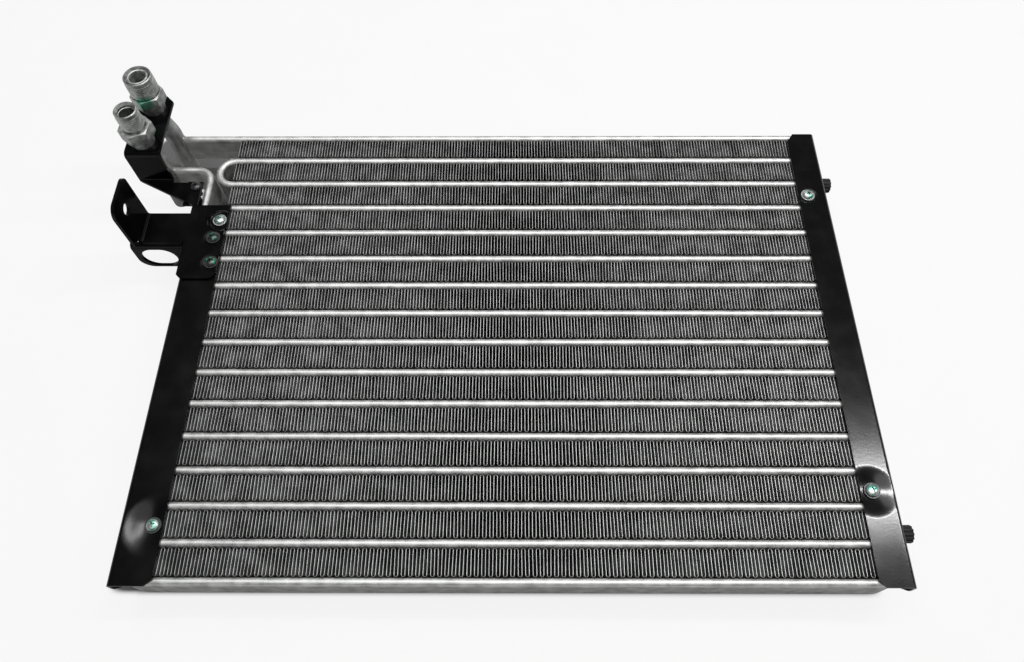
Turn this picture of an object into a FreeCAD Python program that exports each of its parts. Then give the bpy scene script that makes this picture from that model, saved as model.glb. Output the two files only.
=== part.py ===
import FreeCAD, Part
import math
import os
import Sketcher
from FreeCAD import Placement, Rotation, Vector

# Air conditioning condenser, lying flat with its airflow face up. Millimetres, +Z up.
# While it is drawn, x is 0 at the left hairpins' centres, y is 0 at the inlet pass
# and z is 0 at the tube's upper edge. The last step puts the origin under the middle.

full_turn = 360
same_place = 1e-4
same_direction = 1e-6

os.makedirs("parts", exist_ok=True)
doc = FreeCAD.newDocument("Condenser")
sheet = doc.addObject("Spreadsheet::Sheet", "Sizes")

driving_sizes = {
    # Core: one flat tube folded into a serpentine, with folded fins between its passes
    "tube_thick": 5.0,
    "tube_depth": 22.0,
    "fin_height": 16.0,
    "straight_length": 400.0,
    "hairpins": 7,
    "fin_pitch": 5.45,
    "fin_sheet": 0.5,
    "fin_edge_step": 0.6,
    # Return tail inside the left channel, and its turn towards the outlet header
    "tail_gap": 0.5,
    "tail_clear": 1.0,
    "outlet_turn": 10.0,
    "port_spacing": 30.3,
    "outlet_rise": 1.2,
    # Side channels of folded sheet
    "sheet_thick": 1.5,
    "channel_bend": 1.0,
    "left_flange": 24.7,
    "right_flange": 20.2,
    "right_clear": 2.9,
    "front_reach": 0.4,
    "back_step": 1.2,
    "back_cut_width": 4.8,
    "back_cut_length": 7.4,
    "front_cut_width": 4.2,
    "front_cut_length": 3.4,
    "end_cut_start": 8.0,
    "end_cut_length": 5.5,
    "left_flange_stop": 62.5,
    "left_web_stop": 54.0,
    "ear_width": 9.0,
    "ear_stop": 42.0,
    # Mounting bracket: plate, shelf, upright tab and hook
    "bracket_thick": 2.0,
    "bracket_bend": 1.5,
    "bend_relief": 0.5,
    "plate_overhang": 1.2,
    "plate_lip": 1.5,
    "plate_inner_edge": 3.5,
    "plate_length": 59.5,
    "plate_corner": 5.0,
    "plate_cut": 3.2,
    "shelf_start": 7.0,
    "shelf_width": 27.5,
    "shelf_reach": 30.6,
    "tab_width": 30.5,
    "tab_height": 40.5,
    "tab_back_corner": 5.0,
    "tab_front_corner": 8.0,
    "tab_hole_radius": 4.1,
    "tab_hole_height": 26.3,
    "tab_hole_inset": 16.2,
    "hook_left_reach": 5.2,
    "hook_right_gap": 1.0,
    "hook_drop": 24.2,
    "hook_corner": 9.0,
    "hook_hole_width": 24.0,
    "hook_hole_height": 19.0,
    "hook_hole_inset": 10.4,
    "hook_hole_rise": 1.2,
    # Fitting bracket: ledge under the fittings, upright leg and foot
    "ledge_width": 24.0,
    "ledge_gap": 18.8,
    "ledge_height": 30.0,
    "ledge_back": 11.0,
    "ledge_cut": 5.0,
    "leg_gap": 3.35,
    "foot_gap": 0.3,
    "foot_side": 2.1,
    "foot_back_step": 2.4,
    # Headers with a small lean, and their caps
    "header_offset": 30.6,
    "header_radius": 6.35,
    "header_wall": 1.5,
    "header_drop": 12.0,
    "header_lean": 3.0,
    "lean_radius": 24.0,
    "lean_start": 3.0,
    "outlet_stagger": 1.0,
    "slot_clear": 0.15,
    "tube_entry": 3.5,
    "cap_thick": 1.5,
    "cap_round": 1.1,
    "cap_plug": 2.0,
    "cap_clear": 0.05,
    # Port fittings
    "socket_depth": 6.0,
    "hole_clear": 0.3,
    "hex_flats": 19.6,
    "hex_height": 9.3,
    "hex_turn": 22.0,
    "hex_bevel": 0.4,
    "nose_length": 14.7,
    "nose_bevel": 0.5,
    "mouth_wall": 0.8,
    "dish_wall": 2.1,
    "dish_depth": 2.2,
    "collar_radius": 7.8,
    "inlet_nose_radius": 9.65,
    "inlet_bore_radius": 5.3,
    "outlet_nose_radius": 7.8,
    "outlet_bore_radius": 5.2,
    # Screws, washers and clinch nuts
    "screw_radius": 2.0,
    "screw_clear": 0.2,
    "head_radius": 3.7,
    "head_height": 2.2,
    "head_round": 1.3,
    "washer_radius": 4.6,
    "washer_thick": 0.8,
    "nut_flats": 6.0,
    "nut_height": 3.0,
    "nut_turn": 30.0,
    "tip_clear": 0.3,
    "left_screw_offset": 1.6,
    "left_screw_drop": 1.7,
    "right_screw_offset": 3.5,
    "right_screw_drop": 2.2,
    "back_screw_offset": 0.6,
    "back_screw_drop": 3.8,
    "middle_screw_offset": 2.5,
    "middle_screw_drop": 18.0,
    "front_screw_offset": 0.6,
    "front_screw_drop": 37.8,
    "short_screw_length": 9.0,
    "foot_screw_inset": 3.7,
    "foot_screw_back": 3.6,
    # Locating pins with grooved rubber bushes
    "pin_radius": 3.0,
    "pin_length": 7.4,
    "pin_head_radius": 5.0,
    "pin_head_thick": 1.0,
    "bush_radius": 5.1,
    "bush_length": 8.4,
    "bush_collar_radius": 5.9,
    "bush_collar_length": 2.0,
    "bush_groove_radius": 0.9,
    "bush_groove_rise": 0.3,
    "bush_grooves": 12,
    "back_pin_step": 36.0,
    "front_pin_step": 31.9,
}
for row, (alias, size) in enumerate(driving_sizes.items(), start=1):
    sheet.set(f"A{row}", alias)
    sheet.set(f"B{row}", str(size))
    sheet.setAlias(f"B{row}", alias)
doc.recompute()


def number(expression):
    """Value of an expression over the sheet's sizes."""
    return float(sheet.evalExpression(expression))


# Places that several pieces share, as expressions over the sheet
pitch = "(Sizes.fin_height + Sizes.tube_thick)"
bend = f"({pitch} / 2)"
crown = f"({bend} + Sizes.tube_thick / 2)"
last_pass = f"(-{pitch} * (2 * Sizes.hairpins + 1))"
middle_z = "(-Sizes.tube_depth / 2)"
tail_x = f"(-{crown} - Sizes.tail_gap - Sizes.tube_thick / 2)"
left_web_inner = f"({tail_x} - Sizes.tube_thick / 2 - Sizes.tail_clear)"
left_web_outer = f"({left_web_inner} - Sizes.sheet_thick)"
right_web_inner = f"(Sizes.straight_length + {crown} + Sizes.right_clear)"
right_web_outer = f"({right_web_inner} + Sizes.sheet_thick)"
channel_front = f"({last_pass} - Sizes.tube_thick / 2 - Sizes.front_reach)"
channel_back = "(Sizes.tube_thick / 2 - Sizes.back_step)"
channel_top = "Sizes.sheet_thick"
floor_z = "(-Sizes.tube_depth - Sizes.sheet_thick)"
relief = "(Sizes.bracket_thick + Sizes.bracket_bend + Sizes.bend_relief)"
outer_bend = "(Sizes.bracket_thick + Sizes.bracket_bend)"
bracket_top = "(Sizes.sheet_thick + Sizes.bracket_thick)"
plate_back = "(-Sizes.left_flange_stop - Sizes.plate_lip)"
plate_left = f"({left_web_outer} - Sizes.plate_overhang)"
outlet_y = "(-Sizes.port_spacing)"
outlet_pass = f"({outlet_y} + Sizes.outlet_rise)"
inlet_top_x = f"({left_web_outer} - Sizes.header_offset)"
inlet_low_x = f"({inlet_top_x} + Sizes.header_lean)"
outlet_top_x = f"({inlet_top_x} - Sizes.outlet_stagger)"
outlet_low_x = f"({outlet_top_x} + Sizes.header_lean)"
header_bottom = "(-Sizes.tube_depth - Sizes.header_drop)"
header_top = "(Sizes.ledge_height + Sizes.socket_depth)"
back_pin_y = "(-Sizes.back_pin_step)"
front_pin_y = f"({channel_front} + Sizes.front_pin_step)"

# Screw places: four pass through hairpin eyes, three hold a bracket to its sheet
plate_eye = f"(-3.5 * {pitch})"
left_eye = f"(-(2 * Sizes.hairpins - 0.5) * {pitch})"
right_back_eye = f"(-2.5 * {pitch})"
right_front_eye = f"(-(2 * Sizes.hairpins - 1.5) * {pitch})"
right_screw_x = "(Sizes.straight_length + Sizes.right_screw_offset)"
back_plate_screw = ("(-Sizes.back_screw_offset)", f"({plate_eye} - Sizes.back_screw_drop)")
middle_plate_screw = ("(-Sizes.middle_screw_offset)", f"({plate_eye} - Sizes.middle_screw_drop)")
front_plate_screw = ("(-Sizes.front_screw_offset)", f"({plate_eye} - Sizes.front_screw_drop)")
left_screw = ("(-Sizes.left_screw_offset)", f"({left_eye} - Sizes.left_screw_drop)")
right_back_screw = (right_screw_x, f"({right_back_eye} - Sizes.right_screw_drop)")
right_front_screw = (right_screw_x, f"({right_front_eye} - Sizes.right_screw_drop)")
plate_screws = (back_plate_screw, middle_plate_screw, front_plate_screw)
through_screws = (left_screw, right_back_screw, right_front_screw)

pieces = []


def keep(piece):
    """Count an object as a finished piece."""
    pieces.append(piece)
    return piece


def new_body(label):
    """Empty body that becomes one finished piece."""
    return keep(doc.addObject("PartDesign::Body", label))


def sketch_on(body, role, name, x="0", y="0", z="0"):
    """Sketch on a body's origin plane, moved in the sketch's own directions by bound distances."""
    sketch = body.newObject("Sketcher::SketchObject", name)
    plane = next(feature for feature in body.Origin.OriginFeatures if feature.Role == role)
    sketch.AttachmentSupport = (plane, [""])
    sketch.MapMode = "FlatFace"
    for axis, expression in (("x", x), ("y", y), ("z", z)):
        sketch.setExpression(f"AttachmentOffset.Base.{axis}", expression)
    return sketch


def bind(sketch, constraint, expression):
    """Add a dimension to a sketch and bind it to the sheet."""
    index = sketch.addConstraint(constraint)
    sketch.setExpression(f"Constraints[{index}]", expression)


def hold(sketch, geometry, position, x, y):
    """Bind a point of a sketch to two distances from the sketch's origin."""
    bind(sketch, Sketcher.Constraint("DistanceX", -1, 1, geometry, position, number(x)), x)
    bind(sketch, Sketcher.Constraint("DistanceY", -1, 1, geometry, position, number(y)), y)


def outline(sketch, corners):
    """Closed straight outline with every corner bound."""
    points = [Vector(number(x), number(y), 0) for x, y in corners]
    for start, end in zip(points, points[1:] + points[:1]):
        sketch.addGeometry(Part.LineSegment(start, end), False)
    for index in range(len(points)):
        following = (index + 1) % len(points)
        sketch.addConstraint(Sketcher.Constraint("Coincident", index, 2, following, 1))
    for index, (x, y) in enumerate(corners):
        hold(sketch, index, 1, x, y)


def rectangle(sketch, left, right, front, back):
    """Closed rectangle between four bound limits."""
    outline(sketch, [(left, front), (right, front), (right, back), (left, back)])


def circle(sketch, radius, x="0", y="0"):
    """Circle with a bound radius and centre."""
    centre = Vector(number(x), number(y), 0)
    index = sketch.addGeometry(Part.Circle(centre, Vector(0, 0, 1), number(radius)), False)
    hold(sketch, index, 3, x, y)
    bind(sketch, Sketcher.Constraint("Radius", index, number(radius)), radius)


def rounded_slot(sketch, half_straight, radius, upright):
    """Slot with full round ends about the sketch's origin, upright or lying."""
    length = number(half_straight)
    width = number(radius)
    along = Vector(0, 1, 0) if upright else Vector(1, 0, 0)
    across = Vector(1, 0, 0) if upright else Vector(0, -1, 0)
    first_angle = 0.0 if upright else -math.pi / 2
    for sign in (1, -1):
        side = across * (width * sign)
        end = along * (length * sign)
        sketch.addGeometry(Part.LineSegment(side - end, side + end), False)
        ring = Part.Circle(end, Vector(0, 0, 1), width)
        sketch.addGeometry(Part.ArcOfCircle(ring, first_angle, first_angle + math.pi), False)
        first_angle += math.pi
    for side in range(4):
        sketch.addConstraint(Sketcher.Constraint("Tangent", side, 2, (side + 1) % 4, 1))
    bind(sketch, Sketcher.Constraint("Radius", 1, width), radius)
    for arc, sign in ((1, ""), (3, "-")):
        places = ("0", f"{sign}({half_straight})")
        hold(sketch, arc, 3, *(places if upright else reversed(places)))


def extrude(body, sketch, length):
    """Pad of a sketch by a bound length along the sketch's normal."""
    feature = body.newObject("PartDesign::Pad", f"{sketch.Name}_pad")
    feature.Profile = sketch
    feature.setExpression("Length", length)
    return feature


def cut(body, sketch, length, one_way=False):
    """Pocket of a sketch, to both sides of its plane or only along its normal."""
    doc.recompute()
    before = body.Shape.Volume
    feature = body.newObject("PartDesign::Pocket", f"{sketch.Name}_cut")
    feature.Profile = sketch
    feature.Midplane = not one_way
    feature.Reversed = one_way
    feature.setExpression("Length", length)
    doc.recompute()
    if body.Shape.Volume >= before:
        raise ValueError(f"{feature.Name} cuts nothing")
    return feature


def drill(body, name, places, radius, z, depth):
    """Round upright holes at several places."""
    sketch = sketch_on(body, "XY_Plane", name, z=z)
    for x, y in places:
        circle(sketch, radius, x, y)
    return cut(body, sketch, depth)


def edges_near(feature, direction, spots, skipped):
    """Names of a feature's straight edges along a direction that pass through any of the spots."""
    doc.recompute()
    names = []
    for index, edge in enumerate(feature.Shape.Edges, start=1):
        if not isinstance(edge.Curve, Part.Line):
            continue
        if abs(abs(edge.Curve.Direction.dot(direction)) - 1) > same_direction:
            continue
        middle = [edge.CenterOfMass.x, edge.CenterOfMass.y, edge.CenterOfMass.z]
        del middle[skipped]
        if any(math.dist(middle, spot) < same_place for spot in spots):
            names.append(f"Edge{index}")
    if not names:
        raise ValueError(f"{feature.Name} has no such edge")
    return names


def round_edges(body, base, axis, places, radius):
    """Fillet of the edges along an axis at places given by the two other coordinates."""
    directions = {"x": Vector(1, 0, 0), "y": Vector(0, 1, 0), "z": Vector(0, 0, 1)}
    spots = [(number(first), number(second)) for first, second in places]
    names = edges_near(base, directions[axis], spots, "xyz".index(axis))
    feature = body.newObject("PartDesign::Fillet", f"{base.Name}_{axis}")
    feature.Base = (base, names)
    feature.setExpression("Radius", radius)
    doc.recompute()
    return feature


# Serpentine tube: a flat section with round edges, swept along every pass and hairpin
def serpentine_path(sketch):
    """Centre line of the tube, from the inlet header through the tail to the outlet header."""
    radius = number(bend)
    gap = number(pitch)
    right = number("Sizes.straight_length")
    passes = 2 * round(number("Sizes.hairpins")) + 2
    turn = number("Sizes.outlet_turn")
    tail = number(tail_x)
    outlet = number(outlet_pass)
    upward = Vector(0, 0, 1)
    path = []
    meetings = []
    start = Vector(number(f"{inlet_low_x} + Sizes.tube_entry"), 0, 0)
    for index in range(passes):
        y = -gap * index
        goes_right = index % 2 == 0
        line = 2 * index
        if index == passes - 1:
            path.append(Part.LineSegment(start, Vector(tail + radius, y, 0)))
            break
        end = Vector(right if goes_right else 0.0, y, 0)
        path.append(Part.LineSegment(start, end))
        first_angle = -math.pi / 2 if goes_right else math.pi / 2
        ring = Part.Circle(end - Vector(0, radius, 0), upward, radius)
        path.append(Part.ArcOfCircle(ring, first_angle, first_angle + math.pi))
        entry, leave = (2, 1) if goes_right else (1, 2)
        meetings.append((line, 2, line + 1, entry))
        meetings.append((line + 1, leave, line + 2, 1))
        start = end - Vector(0, gap, 0)
    line = 2 * (passes - 1)
    corner = Part.Circle(Vector(tail + radius, y + radius, 0), upward, radius)
    path.append(Part.ArcOfCircle(corner, math.pi, 3 * math.pi / 2))
    path.append(Part.LineSegment(Vector(tail, y + radius, 0), Vector(tail, outlet - turn, 0)))
    corner = Part.Circle(Vector(tail - turn, outlet - turn, 0), upward, turn)
    path.append(Part.ArcOfCircle(corner, 0, math.pi / 2))
    entry_x = number(f"{outlet_low_x} + Sizes.tube_entry")
    path.append(Part.LineSegment(Vector(tail - turn, outlet, 0), Vector(entry_x, outlet, 0)))
    meetings += [(line, 2, line + 1, 2), (line + 1, 1, line + 2, 1),
                 (line + 2, 2, line + 3, 1), (line + 3, 2, line + 4, 1)]
    sketch.addGeometry(path, False)
    for meeting in meetings:
        sketch.addConstraint(Sketcher.Constraint("Tangent", *meeting))
    sketch.addConstraint(Sketcher.Constraint("Horizontal", 0))
    hold(sketch, 0, 1, f"{inlet_low_x} + Sizes.tube_entry", "0")
    for arc in range(1, line, 2):
        bind(sketch, Sketcher.Constraint("Radius", arc, radius), bend)
        side = "Sizes.straight_length" if arc % 4 == 1 else "0"
        bind(sketch, Sketcher.Constraint("DistanceX", -1, 1, arc, 3, number(side)), side)
    bind(sketch, Sketcher.Constraint("Radius", line + 1, radius), bend)
    bind(sketch, Sketcher.Constraint("Radius", line + 3, turn), "Sizes.outlet_turn")
    hold(sketch, line + 4, 2, f"{outlet_low_x} + Sizes.tube_entry", outlet_pass)
    bind(sketch, Sketcher.Constraint("DistanceX", -1, 1, line + 2, 1, tail), tail_x)


def build_serpentine():
    """The whole flow path as one bent tube."""
    body = new_body("serpentine_tube")
    path = sketch_on(body, "XY_Plane", "tube_path", z=middle_z)
    serpentine_path(path)
    section = sketch_on(body, "YZ_Plane", "tube_section", y=middle_z,
                        z=f"{inlet_low_x} + Sizes.tube_entry")
    rounded_slot(section, "(Sizes.tube_depth - Sizes.tube_thick) / 2", "Sizes.tube_thick / 2",
                 upright=True)
    sweep = body.newObject("PartDesign::AdditivePipe", "tube_sweep")
    sweep.Profile = section
    sweep.Spine = (path, [])


# Fin rows: sheet folded into a zigzag whose crests touch the tube on both sides
def zigzag_outline(length, height, leg, thick):
    """Outline of a zigzag strip of even thickness, its crests on the two long sides."""
    count = max(2, round(length / leg))
    step = length / count
    slimness = 1 - (thick / step) ** 2
    swing = (height - math.sqrt(height ** 2 - slimness * (height ** 2 - thick ** 2))) / (2 * slimness)
    half_rise = height / 2 - swing
    middle = [Vector(index * step, swing if index % 2 == 0 else -swing, 0) for index in range(count + 1)]
    upper = [point + Vector(0, half_rise, 0) for point in middle]
    lower = [point - Vector(0, half_rise, 0) for point in reversed(middle)]
    return upper + lower


def build_fin_rows():
    """One folded strip for each gap between neighbouring passes."""
    height = number("Sizes.fin_height")
    depth = number("Sizes.tube_depth - 2 * Sizes.fin_edge_step")
    points = zigzag_outline(number("Sizes.straight_length"), height, number("Sizes.fin_pitch"),
                            number("Sizes.fin_sheet"))
    strip = Part.Face(Part.makePolygon(points + points[:1])).extrude(Vector(0, 0, -depth))
    for index in range(2 * round(number("Sizes.hairpins")) + 1):
        row = keep(doc.addObject("Part::Feature", f"fin_row_{index + 1:02d}"))
        row.Shape = strip
        y = -number(pitch) * (index + 0.5)
        row.Placement = Placement(Vector(0, y, -number("Sizes.fin_edge_step")), Rotation())


# Side channels: folded C sections that wrap the hairpins
def add_flange(body, name, corners, z):
    """One flange of a channel, as a plate of the channel's sheet."""
    sketch = sketch_on(body, "XY_Plane", name, z=z)
    outline(sketch, corners)
    extrude(body, sketch, "Sizes.sheet_thick")


def add_channel_section(body, corners, inner, outer, back):
    """Two flanges and the web between them, with the folds rounded."""
    add_flange(body, f"{body.Name}_lower", corners, floor_z)
    add_flange(body, f"{body.Name}_upper", corners, "0")
    web = sketch_on(body, "XY_Plane", f"{body.Name}_web", z=floor_z)
    rectangle(web, inner, outer, channel_front, back)
    wall = extrude(body, web, "Sizes.tube_depth + 2 * Sizes.sheet_thick")
    outside = [(outer, channel_top), (outer, floor_z)]
    inside = [(inner, "0"), (inner, "-Sizes.tube_depth")]
    rounded = round_edges(body, wall, "y", outside, "Sizes.sheet_thick + Sizes.channel_bend")
    round_edges(body, rounded, "y", inside, "Sizes.channel_bend")
    end_cut = sketch_on(body, "YZ_Plane", f"{body.Name}_end_cut", z=outer)
    outline(end_cut, [
        (channel_front, "-Sizes.end_cut_start"),
        (f"{channel_front} + Sizes.end_cut_length", floor_z),
        (channel_front, floor_z),
    ])
    cut(body, end_cut, "4 * Sizes.left_flange")


def build_left_channel():
    """Left channel: its flanges stop at the mounting bracket, and its web carries an ear behind."""
    body = new_body("left_channel")
    edge = f"({left_web_outer} + Sizes.left_flange)"
    stop = "-Sizes.left_flange_stop"
    corners = [
        (left_web_outer, stop),
        (edge, stop),
        (edge, f"{channel_front} + Sizes.front_cut_length"),
        (f"{edge} - Sizes.front_cut_width", channel_front),
        (left_web_outer, channel_front),
    ]
    add_channel_section(body, corners, left_web_inner, left_web_outer, stop)
    tongue = sketch_on(body, "XY_Plane", "tongue", z=floor_z)
    rectangle(tongue, left_web_outer, left_web_inner, stop, "-Sizes.left_web_stop")
    extrude(body, tongue, "Sizes.tube_depth + 2 * Sizes.sheet_thick")
    ear = sketch_on(body, "XY_Plane", "ear", z="0")
    rectangle(ear, f"{left_web_outer} - Sizes.ear_width", left_web_inner, stop, "-Sizes.ear_stop")
    fold = extrude(body, ear, "Sizes.sheet_thick")
    round_edges(body, fold, "y", [(left_web_outer, "0")], "Sizes.channel_bend")
    hole = "Sizes.screw_radius + Sizes.screw_clear"
    drill(body, "left_through_holes", (back_plate_screw, left_screw), hole, middle_z,
          "2 * Sizes.tube_depth")
    drill(body, "left_sheet_holes", (middle_plate_screw, front_plate_screw, foot_screw), hole, "0",
          "4 * Sizes.sheet_thick")


def build_right_channel():
    """Right channel: full length, with both inner corners of its flanges cut."""
    body = new_body("right_channel")
    edge = f"({right_web_outer} - Sizes.right_flange)"
    corners = [
        (right_web_outer, channel_front),
        (f"{edge} + Sizes.front_cut_width", channel_front),
        (edge, f"{channel_front} + Sizes.front_cut_length"),
        (edge, f"{channel_back} - Sizes.back_cut_length"),
        (f"{edge} + Sizes.back_cut_width", channel_back),
        (right_web_outer, channel_back),
    ]
    add_channel_section(body, corners, right_web_inner, right_web_outer, channel_back)
    drill(body, "right_through_holes", (right_back_screw, right_front_screw),
          "Sizes.screw_radius + Sizes.screw_clear", middle_z, "2 * Sizes.tube_depth")
    pins = sketch_on(body, "YZ_Plane", "pin_holes", y=middle_z, z=right_web_inner)
    for y in (back_pin_y, front_pin_y):
        circle(pins, "Sizes.pin_radius", y)
    cut(body, pins, "4 * Sizes.sheet_thick")


# Mounting bracket: one sheet folded into a plate, a shelf, an upright tab and a hook
shelf_back = f"({plate_back} - Sizes.shelf_start)"
shelf_front = f"({shelf_back} - Sizes.shelf_width)"
tab_outer = f"({plate_left} - Sizes.shelf_reach)"
tab_inner = f"({tab_outer} + Sizes.bracket_thick)"
tab_top = f"({bracket_top} + Sizes.tab_height)"
hook_bottom = f"({bracket_top} - Sizes.hook_drop)"


def build_mount_bracket():
    """Plate over the left channel, with a shelf that ends in a drilled tab and an eyed hook."""
    body = new_body("mount_bracket")
    plate_front = f"({plate_back} - Sizes.plate_length)"
    plate = sketch_on(body, "XY_Plane", "plate", z=channel_top)
    outline(plate, [
        (plate_left, plate_back),
        ("Sizes.plate_inner_edge", plate_back),
        ("Sizes.plate_inner_edge", plate_front),
        (f"{plate_left} + Sizes.plate_cut", plate_front),
        (plate_left, f"{plate_front} + Sizes.plate_cut"),
        (plate_left, f"{shelf_front} + {relief}"),
        (f"{tab_outer} + {relief}", f"{shelf_front} + {relief}"),
        (f"{tab_outer} + {relief}", shelf_back),
        (plate_left, shelf_back),
    ])
    base = extrude(body, plate, "Sizes.bracket_thick")
    inner_corners = [("Sizes.plate_inner_edge", plate_back), ("Sizes.plate_inner_edge", plate_front)]
    round_edges(body, base, "z", inner_corners, "Sizes.plate_corner")

    tab_fold = sketch_on(body, "XZ_Plane", "tab_fold", z=f"-{shelf_back}")
    outline(tab_fold, [
        (f"{tab_outer} + {relief}", channel_top),
        (tab_outer, channel_top),
        (tab_outer, f"{bracket_top} + {relief}"),
        (tab_inner, f"{bracket_top} + {relief}"),
        (tab_inner, bracket_top),
        (f"{tab_outer} + {relief}", bracket_top),
    ])
    fold = extrude(body, tab_fold, f"Sizes.shelf_width - {relief}")
    fold = round_edges(body, fold, "y", [(tab_outer, channel_top)], outer_bend)
    round_edges(body, fold, "y", [(tab_inner, bracket_top)], "Sizes.bracket_bend")
    tab = sketch_on(body, "XY_Plane", "tab", z=f"{bracket_top} + {relief}")
    rectangle(tab, tab_outer, tab_inner, f"{shelf_back} - Sizes.tab_width", shelf_back)
    wall = extrude(body, tab, f"Sizes.tab_height - {relief}")
    wall = round_edges(body, wall, "x", [(shelf_back, tab_top)], "Sizes.tab_back_corner")
    round_edges(body, wall, "x", [(f"{shelf_back} - Sizes.tab_width", tab_top)], "Sizes.tab_front_corner")
    eye = sketch_on(body, "YZ_Plane", "tab_hole", z=tab_outer)
    circle(eye, "Sizes.tab_hole_radius", f"{shelf_back} - Sizes.tab_hole_inset",
           f"{bracket_top} + Sizes.tab_hole_height")
    cut(body, eye, "4 * Sizes.bracket_thick")

    hook_left = f"({tab_outer} - Sizes.hook_left_reach)"
    hook_right = f"({plate_left} - Sizes.hook_right_gap)"
    hook_fold = sketch_on(body, "YZ_Plane", "hook_fold", z=hook_left)
    outline(hook_fold, [
        (f"{shelf_front} + {relief}", bracket_top),
        (shelf_front, bracket_top),
        (shelf_front, hook_bottom),
        (f"{shelf_front} + Sizes.bracket_thick", hook_bottom),
        (f"{shelf_front} + Sizes.bracket_thick", channel_top),
        (f"{shelf_front} + {relief}", channel_top),
    ])
    hook = extrude(body, hook_fold, f"{hook_right} - {hook_left}")
    hook = round_edges(body, hook, "x", [(shelf_front, bracket_top)], outer_bend)
    inner_fold = [(f"{shelf_front} + Sizes.bracket_thick", channel_top)]
    hook = round_edges(body, hook, "x", inner_fold, "Sizes.bracket_bend")
    lower_corners = [(hook_left, hook_bottom), (hook_right, hook_bottom)]
    round_edges(body, hook, "y", lower_corners, "Sizes.hook_corner")
    hook_hole = sketch_on(body, "XZ_Plane", "hook_hole", x=f"{tab_outer} + Sizes.hook_hole_inset",
                          y=f"{hook_bottom} + Sizes.hook_hole_rise + Sizes.hook_hole_height / 2",
                          z=f"-{shelf_front}")
    rounded_slot(hook_hole, "(Sizes.hook_hole_width - Sizes.hook_hole_height) / 2",
                 "Sizes.hook_hole_height / 2", upright=False)
    cut(body, hook_hole, "4 * Sizes.bracket_thick")
    drill(body, "plate_holes", plate_screws, "Sizes.screw_radius + Sizes.screw_clear", channel_top,
          "4 * Sizes.bracket_thick")


# Fitting bracket: a ledge under the two fittings, an upright leg, and a foot on the left channel's ear
leg_outer = f"({outlet_y} - Sizes.header_radius - Sizes.leg_gap - Sizes.bracket_thick)"
leg_inner = f"({leg_outer} + Sizes.bracket_thick)"
ledge_right = f"({left_web_outer} - Sizes.ledge_gap)"
ledge_left = f"({ledge_right} - Sizes.ledge_width)"
foot_right = f"({left_web_outer} + Sizes.foot_side)"
foot_front = f"({plate_back} + Sizes.foot_gap)"
foot_tip_x = f"({plate_left} - Sizes.foot_gap)"
foot_back = f"({leg_outer} - Sizes.foot_back_step)"
foot_screw = (f"({foot_right} - Sizes.foot_screw_inset)", f"({foot_back} - Sizes.foot_screw_back)")


def build_fitting_bracket():
    """Z-folded strip that holds both headers upright."""
    body = new_body("fitting_bracket")
    ledge_under = "(Sizes.ledge_height - Sizes.bracket_thick)"
    ledge = sketch_on(body, "XY_Plane", "ledge", z=ledge_under)
    outline(ledge, [
        (ledge_left, f"{leg_outer} + {relief}"),
        (ledge_right, f"{leg_outer} + {relief}"),
        (ledge_right, "Sizes.ledge_back - Sizes.ledge_cut"),
        (f"{ledge_right} - Sizes.ledge_cut", "Sizes.ledge_back"),
        (f"{ledge_left} + Sizes.ledge_cut", "Sizes.ledge_back"),
        (ledge_left, "Sizes.ledge_back - Sizes.ledge_cut"),
    ])
    extrude(body, ledge, "Sizes.bracket_thick")
    fold = sketch_on(body, "YZ_Plane", "leg_fold", z=ledge_left)
    outline(fold, [
        (f"{leg_outer} + {relief}", "Sizes.ledge_height"),
        (leg_outer, "Sizes.ledge_height"),
        (leg_outer, bracket_top),
        (f"{leg_inner} - {relief}", bracket_top),
        (f"{leg_inner} - {relief}", channel_top),
        (leg_inner, channel_top),
        (leg_inner, ledge_under),
        (f"{leg_outer} + {relief}", ledge_under),
    ])
    leg = extrude(body, fold, "Sizes.ledge_width")
    outside = [(leg_outer, "Sizes.ledge_height"), (leg_inner, channel_top)]
    leg = round_edges(body, leg, "x", outside, outer_bend)
    inside = [(leg_inner, ledge_under), (leg_outer, bracket_top)]
    round_edges(body, leg, "x", inside, "Sizes.bracket_bend")
    foot = sketch_on(body, "XY_Plane", "foot", z=channel_top)
    outline(foot, [
        (ledge_left, f"{leg_inner} - {relief}"),
        (ledge_left, foot_front),
        (foot_right, foot_front),
        (foot_right, foot_back),
        (ledge_right, foot_back),
        (ledge_right, f"{leg_inner} - {relief}"),
    ])
    extrude(body, foot, "Sizes.bracket_thick")
    slant = sketch_on(body, "XY_Plane", "slant", z=channel_top)
    outline(slant, [
        (ledge_left, leg_outer),
        (foot_tip_x, foot_front),
        (foot_tip_x, f"{foot_front} - {relief}"),
        (f"{ledge_left} - {relief}", f"{foot_front} - {relief}"),
        (f"{ledge_left} - {relief}", leg_outer),
    ])
    cut(body, slant, "4 * Sizes.bracket_thick")
    drill(body, "header_holes", ((inlet_top_x, "0"), (outlet_top_x, outlet_y)),
          "Sizes.header_radius + Sizes.hole_clear", "Sizes.ledge_height", "4 * Sizes.bracket_thick")
    drill(body, "foot_hole", (foot_screw,), "Sizes.screw_radius + Sizes.screw_clear", channel_top,
          "4 * Sizes.bracket_thick")


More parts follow.
